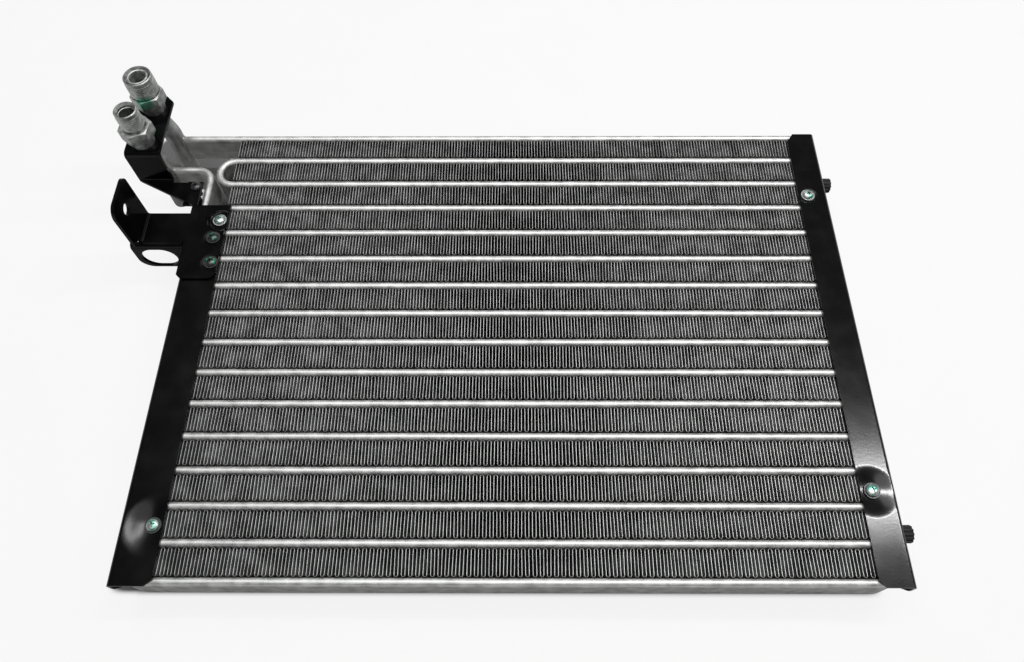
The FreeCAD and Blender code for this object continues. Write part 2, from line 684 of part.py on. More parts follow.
# Headers: round pipes that take the flat tube through a slot and lean a little below the ledge
def build_header(label, low_x, top_x, y, slot_y):
    """Upright pipe with one small double bend and a slot for the flat tube."""
    body = new_body(label)
    radius = number("Sizes.lean_radius")
    shift = number("Sizes.header_lean")
    turn = math.acos(1 - shift / (2 * radius))
    rise = radius * math.sin(turn)
    low = number(low_x)
    top = number(top_x)
    start_z = number("Sizes.lean_start")
    path = sketch_on(body, "XZ_Plane", f"{label}_path", z=f"-({y})")
    ring_low = Part.Circle(Vector(low - radius, start_z, 0), Vector(0, 0, 1), radius)
    ring_top = Part.Circle(Vector(top + radius, start_z + 2 * rise, 0), Vector(0, 0, 1), radius)
    path.addGeometry([
        Part.LineSegment(Vector(low, number(header_bottom), 0), Vector(low, start_z, 0)),
        Part.ArcOfCircle(ring_low, 0, turn),
        Part.ArcOfCircle(ring_top, math.pi, math.pi + turn),
        Part.LineSegment(Vector(top, start_z + 2 * rise, 0), Vector(top, number(header_top), 0)),
    ], False)
    for meeting in ((0, 2, 1, 1), (1, 2, 2, 2), (2, 1, 3, 1)):
        path.addConstraint(Sketcher.Constraint("Tangent", *meeting))
    hold(path, 0, 1, low_x, header_bottom)
    hold(path, 0, 2, low_x, "Sizes.lean_start")
    hold(path, 3, 2, top_x, header_top)
    bind(path, Sketcher.Constraint("Radius", 1, radius), "Sizes.lean_radius")
    bind(path, Sketcher.Constraint("Radius", 2, radius), "Sizes.lean_radius")
    section = sketch_on(body, "XY_Plane", f"{label}_section", x=low_x, y=y, z=header_bottom)
    circle(section, "Sizes.header_radius")
    circle(section, "Sizes.header_radius - Sizes.header_wall")
    pipe = body.newObject("PartDesign::AdditivePipe", f"{label}_pipe")
    pipe.Profile = section
    pipe.Spine = (path, [])
    slot = sketch_on(body, "YZ_Plane", f"{label}_slot", x=slot_y, y=middle_z, z=low_x)
    rounded_slot(slot, "(Sizes.tube_depth - Sizes.tube_thick) / 2",
                 "Sizes.tube_thick / 2 + Sizes.slot_clear", upright=True)
    cut(body, slot, "2 * Sizes.header_radius", one_way=True)


def build_cap(label, x, y):
    """Pressed cap that closes a header's lower end."""
    body = new_body(label)
    rim = sketch_on(body, "XY_Plane", f"{label}_rim", x=x, y=y, z=f"{header_bottom} - Sizes.cap_thick")
    circle(rim, "Sizes.header_radius")
    extrude(body, rim, "Sizes.cap_thick")
    plug = sketch_on(body, "XY_Plane", f"{label}_plug", x=x, y=y, z=header_bottom)
    circle(plug, "Sizes.header_radius - Sizes.header_wall - Sizes.cap_clear")
    feature = extrude(body, plug, "Sizes.cap_plug")
    doc.recompute()
    low = number(f"{header_bottom} - Sizes.cap_thick")
    names = [f"Edge{index}" for index, edge in enumerate(feature.Shape.Edges, start=1)
             if abs(edge.BoundBox.ZMax - low) < same_place]
    dome = body.newObject("PartDesign::Fillet", f"{label}_dome")
    dome.Base = (feature, names)
    dome.setExpression("Radius", "Sizes.cap_round")


# Port fittings: collar on the ledge, hexagon, and a nose with a dished mouth
hex_under = "(Sizes.ledge_height + Sizes.socket_depth)"
hex_top = f"({hex_under} + Sizes.hex_height)"
nose_top = f"({hex_top} + Sizes.nose_length)"
hex_corner = "(Sizes.hex_flats / sqrt(3))"


def turn_away(body, sketch):
    """Material of a sketched half profile turned away around the sketch's upright axis."""
    doc.recompute()
    before = body.Shape.Volume
    feature = body.newObject("PartDesign::Groove", f"{sketch.Name}_turned")
    feature.Profile = sketch
    feature.ReferenceAxis = (sketch, ["V_Axis"])
    feature.Angle = full_turn
    doc.recompute()
    if body.Shape.Volume >= before:
        raise ValueError(f"{feature.Name} cuts nothing")


def build_fitting(label, x, y, nose_radius, bore_radius):
    """Turned fitting over the end of a header."""
    body = new_body(label)
    collar = sketch_on(body, "XY_Plane", f"{label}_collar", x=x, y=y, z="Sizes.ledge_height")
    circle(collar, "Sizes.collar_radius")
    extrude(body, collar, "Sizes.socket_depth")
    hexagon = sketch_on(body, "XY_Plane", f"{label}_hexagon", x=x, y=y, z=hex_under)
    outline(hexagon, [(f"{hex_corner} * cos(Sizes.hex_turn * 1 deg + {angle} deg)",
                       f"{hex_corner} * sin(Sizes.hex_turn * 1 deg + {angle} deg)")
                      for angle in range(0, full_turn, 60)])
    extrude(body, hexagon, "Sizes.hex_height")
    bevel = sketch_on(body, "XZ_Plane", f"{label}_bevel", x=x, y=hex_top, z=f"-({y})")
    outline(bevel, [
        ("Sizes.hex_flats / 2 - Sizes.hex_bevel", "0"),
        ("Sizes.hex_flats", "0"),
        ("Sizes.hex_flats", "-(Sizes.hex_flats / 2 + Sizes.hex_bevel) * tan(30 deg)"),
    ])
    turn_away(body, bevel)
    nose = sketch_on(body, "XY_Plane", f"{label}_nose", x=x, y=y, z=hex_top)
    circle(nose, nose_radius)
    stem = extrude(body, nose, "Sizes.nose_length")
    doc.recompute()
    top = number(nose_top)
    names = [f"Edge{index}" for index, edge in enumerate(stem.Shape.Edges, start=1)
             if abs(edge.BoundBox.ZMin - top) < same_place]
    lead = body.newObject("PartDesign::Chamfer", f"{label}_lead")
    lead.Base = (stem, names)
    lead.setExpression("Size", "Sizes.nose_bevel")
    dish = sketch_on(body, "XZ_Plane", f"{label}_dish", x=x, y=nose_top, z=f"-({y})")
    outline(dish, [
        ("0", "0"),
        (f"{nose_radius} - Sizes.mouth_wall", "0"),
        (f"{nose_radius} - Sizes.dish_wall", "-Sizes.dish_depth"),
        ("0", "-Sizes.dish_depth"),
    ])
    turn_away(body, dish)
    drill(body, f"{label}_bore", ((x, y),), bore_radius, hex_under,
          "4 * (Sizes.hex_height + Sizes.nose_length)")
    drill(body, f"{label}_socket", ((x, y),), "Sizes.header_radius + Sizes.cap_clear",
          "Sizes.ledge_height", "2 * Sizes.socket_depth")


# Fasteners from turned primitives
def cylinder(name, radius, length, x, y, z, axis=Vector(0, 0, 1)):
    """Round bar with a bound size and place, along a given axis."""
    bar = doc.addObject("Part::Cylinder", name)
    bar.setExpression("Radius", radius)
    bar.setExpression("Height", length)
    bar.Placement = Placement(Vector(), Rotation(Vector(0, 0, 1), axis))
    for letter, expression in (("x", x), ("y", y), ("z", z)):
        bar.setExpression(f"Placement.Base.{letter}", expression)
    return bar


def bored(name, blank, radius, length, x, y, z):
    """A blank with a round hole through it."""
    ring = doc.addObject("Part::Cut", name)
    ring.Base = blank
    ring.Tool = cylinder(f"{name}_bore", radius, length, x, y, z)
    return ring


def screw(name, place, seat, length):
    """Pan head screw with its head on a seat and its shank below."""
    x, y = place
    shank = cylinder(f"{name}_shank", "Sizes.screw_radius", length, x, y, f"{seat} - ({length})")
    blank = cylinder(f"{name}_blank", "Sizes.head_radius", "Sizes.head_height", x, y, seat)
    doc.recompute()
    top = number(f"{seat} + Sizes.head_height")
    rim = next(index for index, edge in enumerate(blank.Shape.Edges, start=1)
               if abs(edge.BoundBox.ZMin - top) < same_place)
    head = doc.addObject("Part::Fillet", f"{name}_head")
    head.Base = blank
    head.Edges = [(rim, number("Sizes.head_round"), number("Sizes.head_round"))]
    whole = doc.addObject("Part::Fuse", name)
    whole.Base = shank
    whole.Tool = head
    return whole


def washer(name, place, seat):
    """Flat washer under a screw's head."""
    x, y = place
    blank = cylinder(f"{name}_blank", "Sizes.washer_radius", "Sizes.washer_thick", x, y, seat)
    return bored(name, blank, "Sizes.screw_radius + Sizes.screw_clear", "Sizes.washer_thick", x, y, seat)


def clinch_nut(name, place):
    """Hexagon nut on the inner face of a channel's lower flange."""
    x, y = place
    blank = doc.addObject("Part::Prism", f"{name}_blank")
    blank.Polygon = 6
    blank.setExpression("Circumradius", "Sizes.nut_flats / sqrt(3)")
    blank.setExpression("Height", "Sizes.nut_height")
    blank.Placement = Placement(Vector(), Rotation(Vector(0, 0, 1), number("Sizes.nut_turn")))
    for letter, expression in (("x", x), ("y", y), ("z", "-Sizes.tube_depth")):
        blank.setExpression(f"Placement.Base.{letter}", expression)
    return bored(name, blank, "Sizes.screw_radius + Sizes.cap_clear", "Sizes.nut_height", x, y,
                 "-Sizes.tube_depth")


def group(label, members):
    """Identical fasteners kept as one piece of separate solids."""
    compound = keep(doc.addObject("Part::Compound", label))
    compound.Links = members


def build_fasteners():
    """Channel screws, bracket screws, washers, nuts and the foot's screw."""
    washer_top = "Sizes.washer_thick"
    channel_seat = f"({channel_top} + {washer_top})"
    plate_seat = f"({bracket_top} + {washer_top})"
    through = f"{{seat}} - {floor_z} - Sizes.tip_clear"
    group("channel_screws", [
        screw(f"channel_screw_{index}", place, channel_seat, through.format(seat=channel_seat))
        for index, place in enumerate(through_screws, start=1)])
    group("channel_washers", [washer(f"channel_washer_{index}", place, channel_top)
                              for index, place in enumerate(through_screws, start=1)])
    group("clinch_nuts", [clinch_nut(f"clinch_nut_{index}", place)
                          for index, place in enumerate((back_plate_screw,) + through_screws, start=1)])
    group("bracket_washers", [washer(f"bracket_washer_{index}", place, bracket_top)
                              for index, place in enumerate(plate_screws, start=1)])
    keep(screw("bracket_long_screw", back_plate_screw, plate_seat, through.format(seat=plate_seat)))
    group("bracket_short_screws", [screw(f"bracket_short_screw_{index}", place, plate_seat,
                                         "Sizes.short_screw_length")
                                   for index, place in enumerate(plate_screws[1:], start=1)])
    keep(screw("foot_screw", foot_screw, bracket_top, "Sizes.short_screw_length"))


# Locating pins on the right channel, each with a grooved rubber bush
def build_pin(label, y):
    """Steel pin through the right channel's web, with a head inside the channel."""
    along = Vector(1, 0, 0)
    shank = cylinder(f"{label}_shank", "Sizes.pin_radius", "Sizes.pin_length + Sizes.sheet_thick",
                     right_web_inner, y, middle_z, along)
    head = cylinder(f"{label}_head", "Sizes.pin_head_radius", "Sizes.pin_head_thick",
                    f"{right_web_inner} - Sizes.pin_head_thick", y, middle_z, along)
    pin = keep(doc.addObject("Part::Fuse", label))
    pin.Base = shank
    pin.Tool = head


def build_bush(label, y):
    """Rubber bush over a pin: collar at the channel, grooves along its barrel, closed end."""
    body = new_body(label)
    barrel = sketch_on(body, "YZ_Plane", f"{label}_barrel", x=y, y=middle_z, z=right_web_outer)
    circle(barrel, "Sizes.bush_radius")
    extrude(body, barrel, "Sizes.bush_length")
    groove = sketch_on(body, "YZ_Plane", f"{label}_groove", x=y, y=middle_z,
                       z=f"{right_web_outer} + Sizes.bush_collar_length")
    circle(groove, "Sizes.bush_groove_radius", "Sizes.bush_radius + Sizes.bush_groove_rise")
    flute = cut(body, groove, "Sizes.bush_length", one_way=True)
    ring = body.newObject("PartDesign::PolarPattern", f"{label}_flutes")
    ring.Originals = [flute]
    ring.Axis = (groove, ["N_Axis"])
    ring.Angle = full_turn
    ring.setExpression("Occurrences", "Sizes.bush_grooves")
    body.Tip = ring
    collar = sketch_on(body, "YZ_Plane", f"{label}_collar", x=y, y=middle_z, z=right_web_outer)
    circle(collar, "Sizes.bush_collar_radius")
    extrude(body, collar, "Sizes.bush_collar_length")
    socket = sketch_on(body, "YZ_Plane", f"{label}_socket", x=y, y=middle_z, z=right_web_outer)
    circle(socket, "Sizes.pin_radius + Sizes.cap_clear")
    cut(body, socket, "Sizes.pin_length", one_way=True)


build_serpentine()
build_fin_rows()
build_left_channel()
build_right_channel()
build_mount_bracket()
build_fitting_bracket()
build_header("inlet_header", inlet_low_x, inlet_top_x, "0", "0")
build_header("outlet_header", outlet_low_x, outlet_top_x, outlet_y, outlet_pass)
build_cap("inlet_header_cap", inlet_low_x, "0")
build_cap("outlet_header_cap", outlet_low_x, outlet_y)
build_fitting("inlet_fitting", inlet_top_x, "0", "Sizes.inlet_nose_radius", "Sizes.inlet_bore_radius")
build_fitting("outlet_fitting", outlet_top_x, outlet_y, "Sizes.outlet_nose_radius",
              "Sizes.outlet_bore_radius")
build_fasteners()
build_pin("back_locating_pin", back_pin_y)
build_pin("front_locating_pin", front_pin_y)
build_bush("back_pin_bush", back_pin_y)
build_bush("front_pin_bush", front_pin_y)
doc.recompute()

for item in doc.Objects:
    if any(state in item.State for state in ("Invalid", "Error")):
        raise ValueError(f"{item.Name} did not recompute: {item.State}")
for piece in pieces:
    if piece.Shape.isNull() or not piece.Shape.isValid():
        raise ValueError(f"{piece.Label} has no valid shape")

# Frame: origin under the middle of the whole condenser, at the height that it rests on
limits = Part.makeCompound([piece.Shape for piece in pieces]).optimalBoundingBox()
origin = Vector((limits.XMin + limits.XMax) / 2, (limits.YMin + limits.YMax) / 2, limits.ZMin)
for piece in pieces:
    piece.Placement.Base = piece.Placement.Base - origin
doc.recompute()
for piece in pieces:
    piece.Shape.exportStep(f"parts/{piece.Label}.step")
print(f"origin {origin.x:.3f} {origin.y:.3f} {origin.z:.3f}, {len(pieces)} pieces")
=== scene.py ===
"""Looks of a serpentine air conditioning condenser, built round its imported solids."""

import logging
import math
from dataclasses import dataclass
from enum import Enum
from typing import Callable, Optional, Sequence

import bmesh
import bpy
from mathutils import Matrix, Vector


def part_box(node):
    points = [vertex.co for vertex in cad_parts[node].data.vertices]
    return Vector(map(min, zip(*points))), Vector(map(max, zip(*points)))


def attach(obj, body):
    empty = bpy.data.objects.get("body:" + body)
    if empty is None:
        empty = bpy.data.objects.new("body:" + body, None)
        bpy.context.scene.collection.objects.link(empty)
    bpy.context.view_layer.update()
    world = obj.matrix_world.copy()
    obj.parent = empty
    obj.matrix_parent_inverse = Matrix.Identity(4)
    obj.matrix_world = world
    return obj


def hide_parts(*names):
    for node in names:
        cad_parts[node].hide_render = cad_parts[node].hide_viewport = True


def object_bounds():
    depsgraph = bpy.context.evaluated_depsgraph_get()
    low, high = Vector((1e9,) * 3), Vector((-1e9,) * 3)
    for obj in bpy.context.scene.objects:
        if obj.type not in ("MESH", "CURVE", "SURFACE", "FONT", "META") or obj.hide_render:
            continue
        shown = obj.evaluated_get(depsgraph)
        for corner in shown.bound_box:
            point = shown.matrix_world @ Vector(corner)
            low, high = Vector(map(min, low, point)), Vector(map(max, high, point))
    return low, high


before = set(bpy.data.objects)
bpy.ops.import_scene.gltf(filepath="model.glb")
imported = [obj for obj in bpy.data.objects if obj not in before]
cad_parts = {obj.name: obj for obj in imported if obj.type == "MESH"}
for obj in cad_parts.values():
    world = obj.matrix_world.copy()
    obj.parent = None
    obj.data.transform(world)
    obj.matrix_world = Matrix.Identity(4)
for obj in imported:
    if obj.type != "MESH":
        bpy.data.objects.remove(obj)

logging.basicConfig(level=logging.INFO, format="%(message)s")
LOG = logging.getLogger("condenser")
MM = 0.001
CAD_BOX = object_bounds()
TUBE_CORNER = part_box("serpentine_tube")[0]


def spot(x: float, y: float, z: float = 0.0) -> Vector:
    """Gives a place in metres from millimetres, counted from the tube's lowest left front corner."""
    return TUBE_CORNER + Vector((x, y, z)) * MM


class Facing(Enum):
    """Which way a drawn or extruded surface runs, as the stretch of its grain along each axis."""

    ALONG_X = (0.02, 1.0, 1.0)
    ALONG_Z = (1.0, 1.0, 0.03)


class Mouth(Enum):
    """How a port's open end is finished inside its rim."""

    RAISED_LIP = "raised lip"
    PLAIN_CONE = "plain cone"


class Keep(Enum):
    """What is kept of a piece when a tool goes through it."""

    REST = "DIFFERENCE"
    SHARED = "INTERSECT"


# Screw places, in millimetres from the tube's corner
LEFT_SCREW = (44.5, 32.3)
RIGHT_BACK_SCREW = (449.6, 262.8)
RIGHT_FRONT_SCREW = (449.6, 52.8)
PLATE_SCREWS = ((45.5, 240.2), (43.6, 226.0), (45.5, 206.2))
FOOT_SCREW = (23.5, 269.5)


# Materials


# Sockets of the Map Range and Mix nodes by their place, because some of their names repeat
VALUE, FROM_LOW, FROM_HIGH, TO_LOW, TO_HIGH = range(5)
FACTOR, FIRST_NUMBER, SECOND_NUMBER, FIRST_COLOUR, SECOND_COLOUR = 0, 2, 3, 6, 7
MIXED_NUMBER, MIXED_COLOUR = 0, 2

# Most of a soft random pattern lies between these two values
GRAIN_LOW, GRAIN_HIGH = 0.3, 0.7

# A Wave Texture with a scale of 1 repeats after this many metres
WAVE_PERIOD = math.tau / 20


def linear(code: str) -> tuple[float, float, float, float]:
    """Turns an sRGB hex colour into linear values.

    Args:
        code: colour such as "#8a8a8a".

    Returns:
        Linear red, green and blue with an alpha of one.
    """
    parts = [int(code[at:at + 2], 16) / 255 for at in (1, 3, 5)]
    red, green, blue = (part / 12.92 if part <= 0.04045 else ((part + 0.055) / 1.055) ** 2.4
                        for part in parts)
    return red, green, blue, 1.0


def add_node(tree: bpy.types.NodeTree, kind: str, sockets: Optional[dict] = None,
             **settings: object) -> bpy.types.Node:
    """Adds one shader node, sets it and links what feeds it.

    Args:
        tree: node tree that gets the node.
        kind: node type without its "ShaderNode" prefix.
        sockets: value or feeding output of each input, by the input's name or index.
        settings: the node's own settings, by name.

    Returns:
        The new node.
    """
    node = tree.nodes.new("ShaderNode" + kind)
    for name, value in settings.items():
        setattr(node, name, value)
    for name, value in (sockets or {}).items():
        if isinstance(value, bpy.types.NodeSocket):
            tree.links.new(value, node.inputs[name])
        else:
            node.inputs[name].default_value = value
    return node


class Surface:
    """A material in the making: its node tree, its shader and the steps that the finishes share."""

    def __init__(self, name: str, metallic: float = 0.0) -> None:
        """Starts the material.

        Args:
            name: what the real material is.
            metallic: 1 for bare metal, 0 for a coat, rubber or board.
        """
        self.material = bpy.data.materials.new(name)
        self.material.use_nodes = True
        self.tree = self.material.node_tree
        self.shader = self.tree.nodes["Principled BSDF"]
        self.shader.inputs["Metallic"].default_value = metallic

    def add(self, kind: str, sockets: Optional[dict] = None, **settings: object) -> bpy.types.Node:
        """Adds a node to this material, as add_node does."""
        return add_node(self.tree, kind, sockets, **settings)

    def point(self, stretch: Sequence[float] = (1.0, 1.0, 1.0),
              centre: Vector = Vector()) -> bpy.types.NodeSocket:
        """Gives the point on the piece, in metres from a centre, stretched for a pattern.

        Args:
            stretch: stretch along each axis.
            centre: place that the pattern is centred on.

        Returns:
            The point's output.
        """
        place = self.add("TexCoord").outputs["Object"]
        moved = self.add("VectorMath", {0: place, 1: tuple(-centre)}, operation="ADD").outputs[0]
        return self.add("Mapping", {"Vector": moved, "Scale": tuple(stretch)}).outputs["Vector"]

    def grain(self, size_mm: float, detail: float = 3.0,
              stretch: Sequence[float] = (1.0, 1.0, 1.0)) -> bpy.types.NodeSocket:
        """Gives a soft random pattern whose blotches have a real size.

        Args:
            size_mm: size of a blotch.
            detail: how many finer layers it has.
            stretch: stretch of the pattern along each axis.

        Returns:
            The pattern's output, from 0 to 1.
        """
        return self.add("TexNoise", {"Vector": self.point(stretch), "Scale": 1 / (size_mm * MM),
                                     "Detail": detail}).outputs["Fac"]

    def tones(self, pattern: bpy.types.NodeSocket, low: str, high: str, start: float,
              stop: float) -> bpy.types.NodeSocket:
        """Colours a pattern between two tones.

        Args:
            pattern: the pattern.
            low: hex colour where the pattern is at its start or under it.
            high: hex colour where it is at its stop or over it.
            start: pattern value that takes the low colour.
            stop: pattern value that takes the high colour.

        Returns:
            The colour's output.
        """
        share = self.add("MapRange", {VALUE: pattern, FROM_LOW: start, FROM_HIGH: stop}).outputs[0]
        return self.add("Mix", {FACTOR: share, FIRST_COLOUR: linear(low), SECOND_COLOUR: linear(high)},
                        data_type="RGBA").outputs[MIXED_COLOUR]

    def paint(self, colour: bpy.types.NodeSocket) -> None:
        """Feeds the shader's colour."""
        self.tree.links.new(colour, self.shader.inputs["Base Color"])

    def roughen(self, pattern: bpy.types.NodeSocket, smooth: float, rough: float) -> None:
        """Lets a soft random pattern move the roughness between two values.

        Args:
            pattern: the pattern.
            smooth: roughness where it is low.
            rough: roughness where it is high.
        """
        value = self.add("MapRange", {VALUE: pattern, FROM_LOW: GRAIN_LOW, FROM_HIGH: GRAIN_HIGH,
                                      TO_LOW: smooth, TO_HIGH: rough}).outputs[0]
        self.tree.links.new(value, self.shader.inputs["Roughness"])

    def emboss(self, height: bpy.types.NodeSocket, rise: float, strength: float = 1.0) -> None:
        """Raises the surface by a pattern, for the light only.

        Args:
            height: the pattern.
            rise: height in metres of the pattern's value of 1.
            strength: share of that height that shows.
        """
        bump = self.add("Bump", {"Height": height, "Distance": rise, "Strength": strength})
        self.tree.links.new(bump.outputs["Normal"], self.shader.inputs["Normal"])


@dataclass(frozen=True)
class ExtrudedAluminium:
    """Flat extruded tube after the brazing furnace: bright, softly mottled, with die lines along its run."""

    name: str = "extruded_aluminium_tube"
    low: str = "#939492"
    high: str = "#cacbc9"
    facing: Facing = Facing.ALONG_X
    # Real die lines are about 0.1 mm apart and wouldn't show, so these are coarser
    die_line_mm: float = 0.5
    die_line_depth_mm: float = 0.1
    mottle_mm: float = 6.0
    line_share: float = 0.4

    def material(self) -> bpy.types.Material:
        """Builds the material.

        Returns:
            The finished material.
        """
        surface = Surface(self.name, metallic=1.0)
        lines = surface.grain(self.die_line_mm, detail=2.0, stretch=self.facing.value)
        mottle = surface.grain(self.mottle_mm, detail=4.0)
        mixed = surface.add("Mix", {FACTOR: self.line_share, FIRST_NUMBER: mottle, SECOND_NUMBER: lines})
        surface.paint(surface.tones(mixed.outputs[MIXED_NUMBER], self.low, self.high, start=0.3, stop=0.62))
        surface.roughen(mottle, smooth=0.47, rough=0.6)
        surface.emboss(lines, rise=self.die_line_depth_mm * MM, strength=0.12)
        return surface.material


@dataclass(frozen=True)
class FinStock:
    """Thin clad aluminium sheet with rolled louvres: dull grey, with painted shade in its louvre slots and
    its folds.

    The places across a row are shares of the row pitch, counted from the middle of the nearest pass.
    """

    first_pass: float
    row_pitch: float
    name: str = "louvred_aluminium_fin_stock"
    low: str = "#8e8f8e"
    high: str = "#bebfbe"
    mottle_mm: float = 9.0
    louvre_mm: float = 1.2
    louvre_depth_mm: float = 0.3
    louvres_full: float = 0.22
    louvres_end: float = 0.3
    painted_slot_shade: float = 0.65
    fold_start: float = 0.13
    fold_end: float = 0.2
    painted_fold_shade: float = 0.22

    def material(self) -> bpy.types.Material:
        """Builds the material.

        Returns:
            The finished material.
        """
        surface = Surface(self.name, metallic=1.0)
        slats = surface.add("TexWave", {
            "Vector": surface.point(), "Scale": WAVE_PERIOD / (self.louvre_mm * MM), "Distortion": 0.0},
            wave_type="BANDS", bands_direction="Z").outputs["Fac"]
        place = surface.point((1.0, 1 / self.row_pitch, 1.0), Vector((0.0, self.first_pass, 0.0)))
        along = surface.add("SeparateXYZ", {0: place}).outputs["Y"]
        inside = surface.add("Math", {0: along, 1: 0.5}, operation="PINGPONG").outputs[0]
        # The louvres show next to the folds and fade out towards the middle of a leg
        open_part = surface.add("MapRange", {
            VALUE: inside, FROM_LOW: self.louvres_end, FROM_HIGH: self.louvres_full},
            interpolation_type="SMOOTHSTEP").outputs[0]
        slots = surface.add("Math", {0: slats, 1: open_part}, operation="MULTIPLY").outputs[0]
        # Painted shade: the louvre slots are darkened
        painted_slot_shade = surface.add("MapRange", {
            VALUE: slots, TO_LOW: 1.0, TO_HIGH: self.painted_slot_shade}).outputs[0]
        # Painted shade: the fins are darkened in their folds next to the passes
        painted_fold_shade = surface.add("MapRange", {
            VALUE: inside, FROM_LOW: self.fold_start, FROM_HIGH: self.fold_end,
            TO_LOW: self.painted_fold_shade, TO_HIGH: 1.0}, interpolation_type="SMOOTHSTEP").outputs[0]
        shade = surface.add("Math", {0: painted_slot_shade, 1: painted_fold_shade}, operation="MULTIPLY").outputs[0]
        mottle = surface.grain(self.mottle_mm, detail=4.0)
        colour = surface.tones(mottle, self.low, self.high, start=0.35, stop=0.65)
        surface.paint(surface.add("Mix", {FACTOR: 1.0, FIRST_COLOUR: colour, SECOND_COLOUR: shade},
                                  data_type="RGBA", blend_type="MULTIPLY").outputs[MIXED_COLOUR])
        surface.roughen(mottle, smooth=0.5, rough=0.66)
        surface.emboss(slots, rise=self.louvre_depth_mm * MM, strength=0.6)
        return surface.material


@dataclass(frozen=True)
class Dent:
    """A round place where a screw has pulled the sheet down, or a ring stamped round it.

    The dent's flat middle and the two slopes of a ring are shares of the radius.
    """

    centre: Vector
    radius: float
    depth: float
    stamped: bool = False
    flat_middle: float = 0.12
    ring_slopes: tuple[tuple[float, float], ...] = ((0.82, 0.95), (1.05, 1.2))

    def height(self, surface: Surface) -> bpy.types.NodeSocket:
        """Gives the surface's height here, in metres, for a bump.

        Args:
            surface: the paint that the dent shows in.

        Returns:
            The height's output.
        """
        across = surface.point((1.0, 1.0, 0.0), self.centre)
        distance = surface.add("VectorMath", {0: across}, operation="LENGTH").outputs["Value"]
        if not self.stamped:
            return surface.add("MapRange", {
                VALUE: distance, FROM_LOW: self.flat_middle * self.radius, FROM_HIGH: self.radius,
                TO_LOW: -self.depth, TO_HIGH: 0.0}, interpolation_type="SMOOTHSTEP").outputs[0]
        rise, fall = (surface.add("MapRange", {
            VALUE: distance, FROM_LOW: start * self.radius, FROM_HIGH: stop * self.radius,
            TO_HIGH: self.depth}, interpolation_type="SMOOTHSTEP").outputs[0]
            for start, stop in self.ring_slopes)
        return surface.add("Math", {0: rise, 1: fall}, operation="SUBTRACT").outputs[0]


@dataclass(frozen=True)
class BakedPaint:
    """Black stoving paint on folded steel: semi-gloss, with a fine orange peel, dust and rubbed places."""

    name: str
    dents: tuple[Dent, ...] = ()
    base: str = "#040405"
    rubbed: str = "#0b0b0c"
    sheen: float = 0.21
    smooth: float = 0.16
    dulled: float = 0.03
    peel_mm: float = 1.6
    peel_depth_mm: float = 0.012
    dust_mm: float = 14.0

    def material(self) -> bpy.types.Material:
        """Builds the material.

        Returns:
            The finished material.
        """
        surface = Surface(self.name)
        dust = surface.grain(self.dust_mm, detail=6.0)
        surface.paint(surface.tones(dust, self.base, self.rubbed, start=0.45, stop=0.75))
        surface.roughen(dust, self.smooth, self.smooth + self.dulled)
        surface.shader.inputs["Specular IOR Level"].default_value = self.sheen
        peel = surface.grain(self.peel_mm, detail=1.0)
        height = surface.add("Math", {0: peel, 1: self.peel_depth_mm * MM}, operation="MULTIPLY").outputs[0]
        for dent in self.dents:
            height = surface.add("Math", {0: height, 1: dent.height(surface)}, operation="ADD").outputs[0]
        surface.emboss(height, rise=1.0)
        return surface.material


@dataclass(frozen=True)
class TurnedAluminium:
    """Machined fitting dulled in the furnace: satin grey, turning rings, green assembly dye on one side."""

    name: str
    axis: Vector
    dye_spot: Vector
    dye_radius_mm: float
    low: str = "#818381"
    high: str = "#b7b9b7"
    dye: str = "#4a9a80"
    dye_share: float = 0.75
    dye_fade_mm: float = 3.0
    dye_ragged_mm: float = 4.0
    mottle_mm: float = 3.0
    # Real turning rings are about 0.2 mm apart and wouldn't show, so these are coarser
    ring_mm: float = 0.6
    ring_depth_mm: float = 0.08

    def material(self) -> bpy.types.Material:
        """Builds the material.

        Returns:
            The finished material.
        """
        surface = Surface(self.name, metallic=1.0)
        rings = surface.add("TexWave", {
            "Vector": surface.point(centre=self.axis), "Scale": WAVE_PERIOD / (self.ring_mm * MM),
            "Distortion": 0.6, "Detail": 2.0}, wave_type="BANDS", bands_direction="Z").outputs["Fac"]
        mottle = surface.grain(self.mottle_mm, detail=4.0)
        metal = surface.tones(mottle, self.low, self.high, start=0.3, stop=0.65)
        away = surface.add("VectorMath", {0: surface.point(centre=self.dye_spot)}, operation="LENGTH")
        ragged = surface.add("Math", {0: surface.grain(self.dye_ragged_mm), 1: self.dye_ragged_mm * MM,
                                      2: away.outputs["Value"]}, operation="MULTIPLY_ADD").outputs[0]
        dyed = surface.add("MapRange", {
            VALUE: ragged, FROM_LOW: self.dye_radius_mm * MM,
            FROM_HIGH: (self.dye_radius_mm + self.dye_fade_mm) * MM,
            TO_LOW: self.dye_share, TO_HIGH: 0.0}, interpolation_type="SMOOTHSTEP").outputs[0]
        surface.paint(surface.add("Mix", {
            FACTOR: dyed, FIRST_COLOUR: metal, SECOND_COLOUR: linear(self.dye)},
            data_type="RGBA").outputs[MIXED_COLOUR])
        surface.roughen(mottle, smooth=0.44, rough=0.58)
        surface.emboss(rings, rise=self.ring_depth_mm * MM, strength=0.12)
        return surface.material


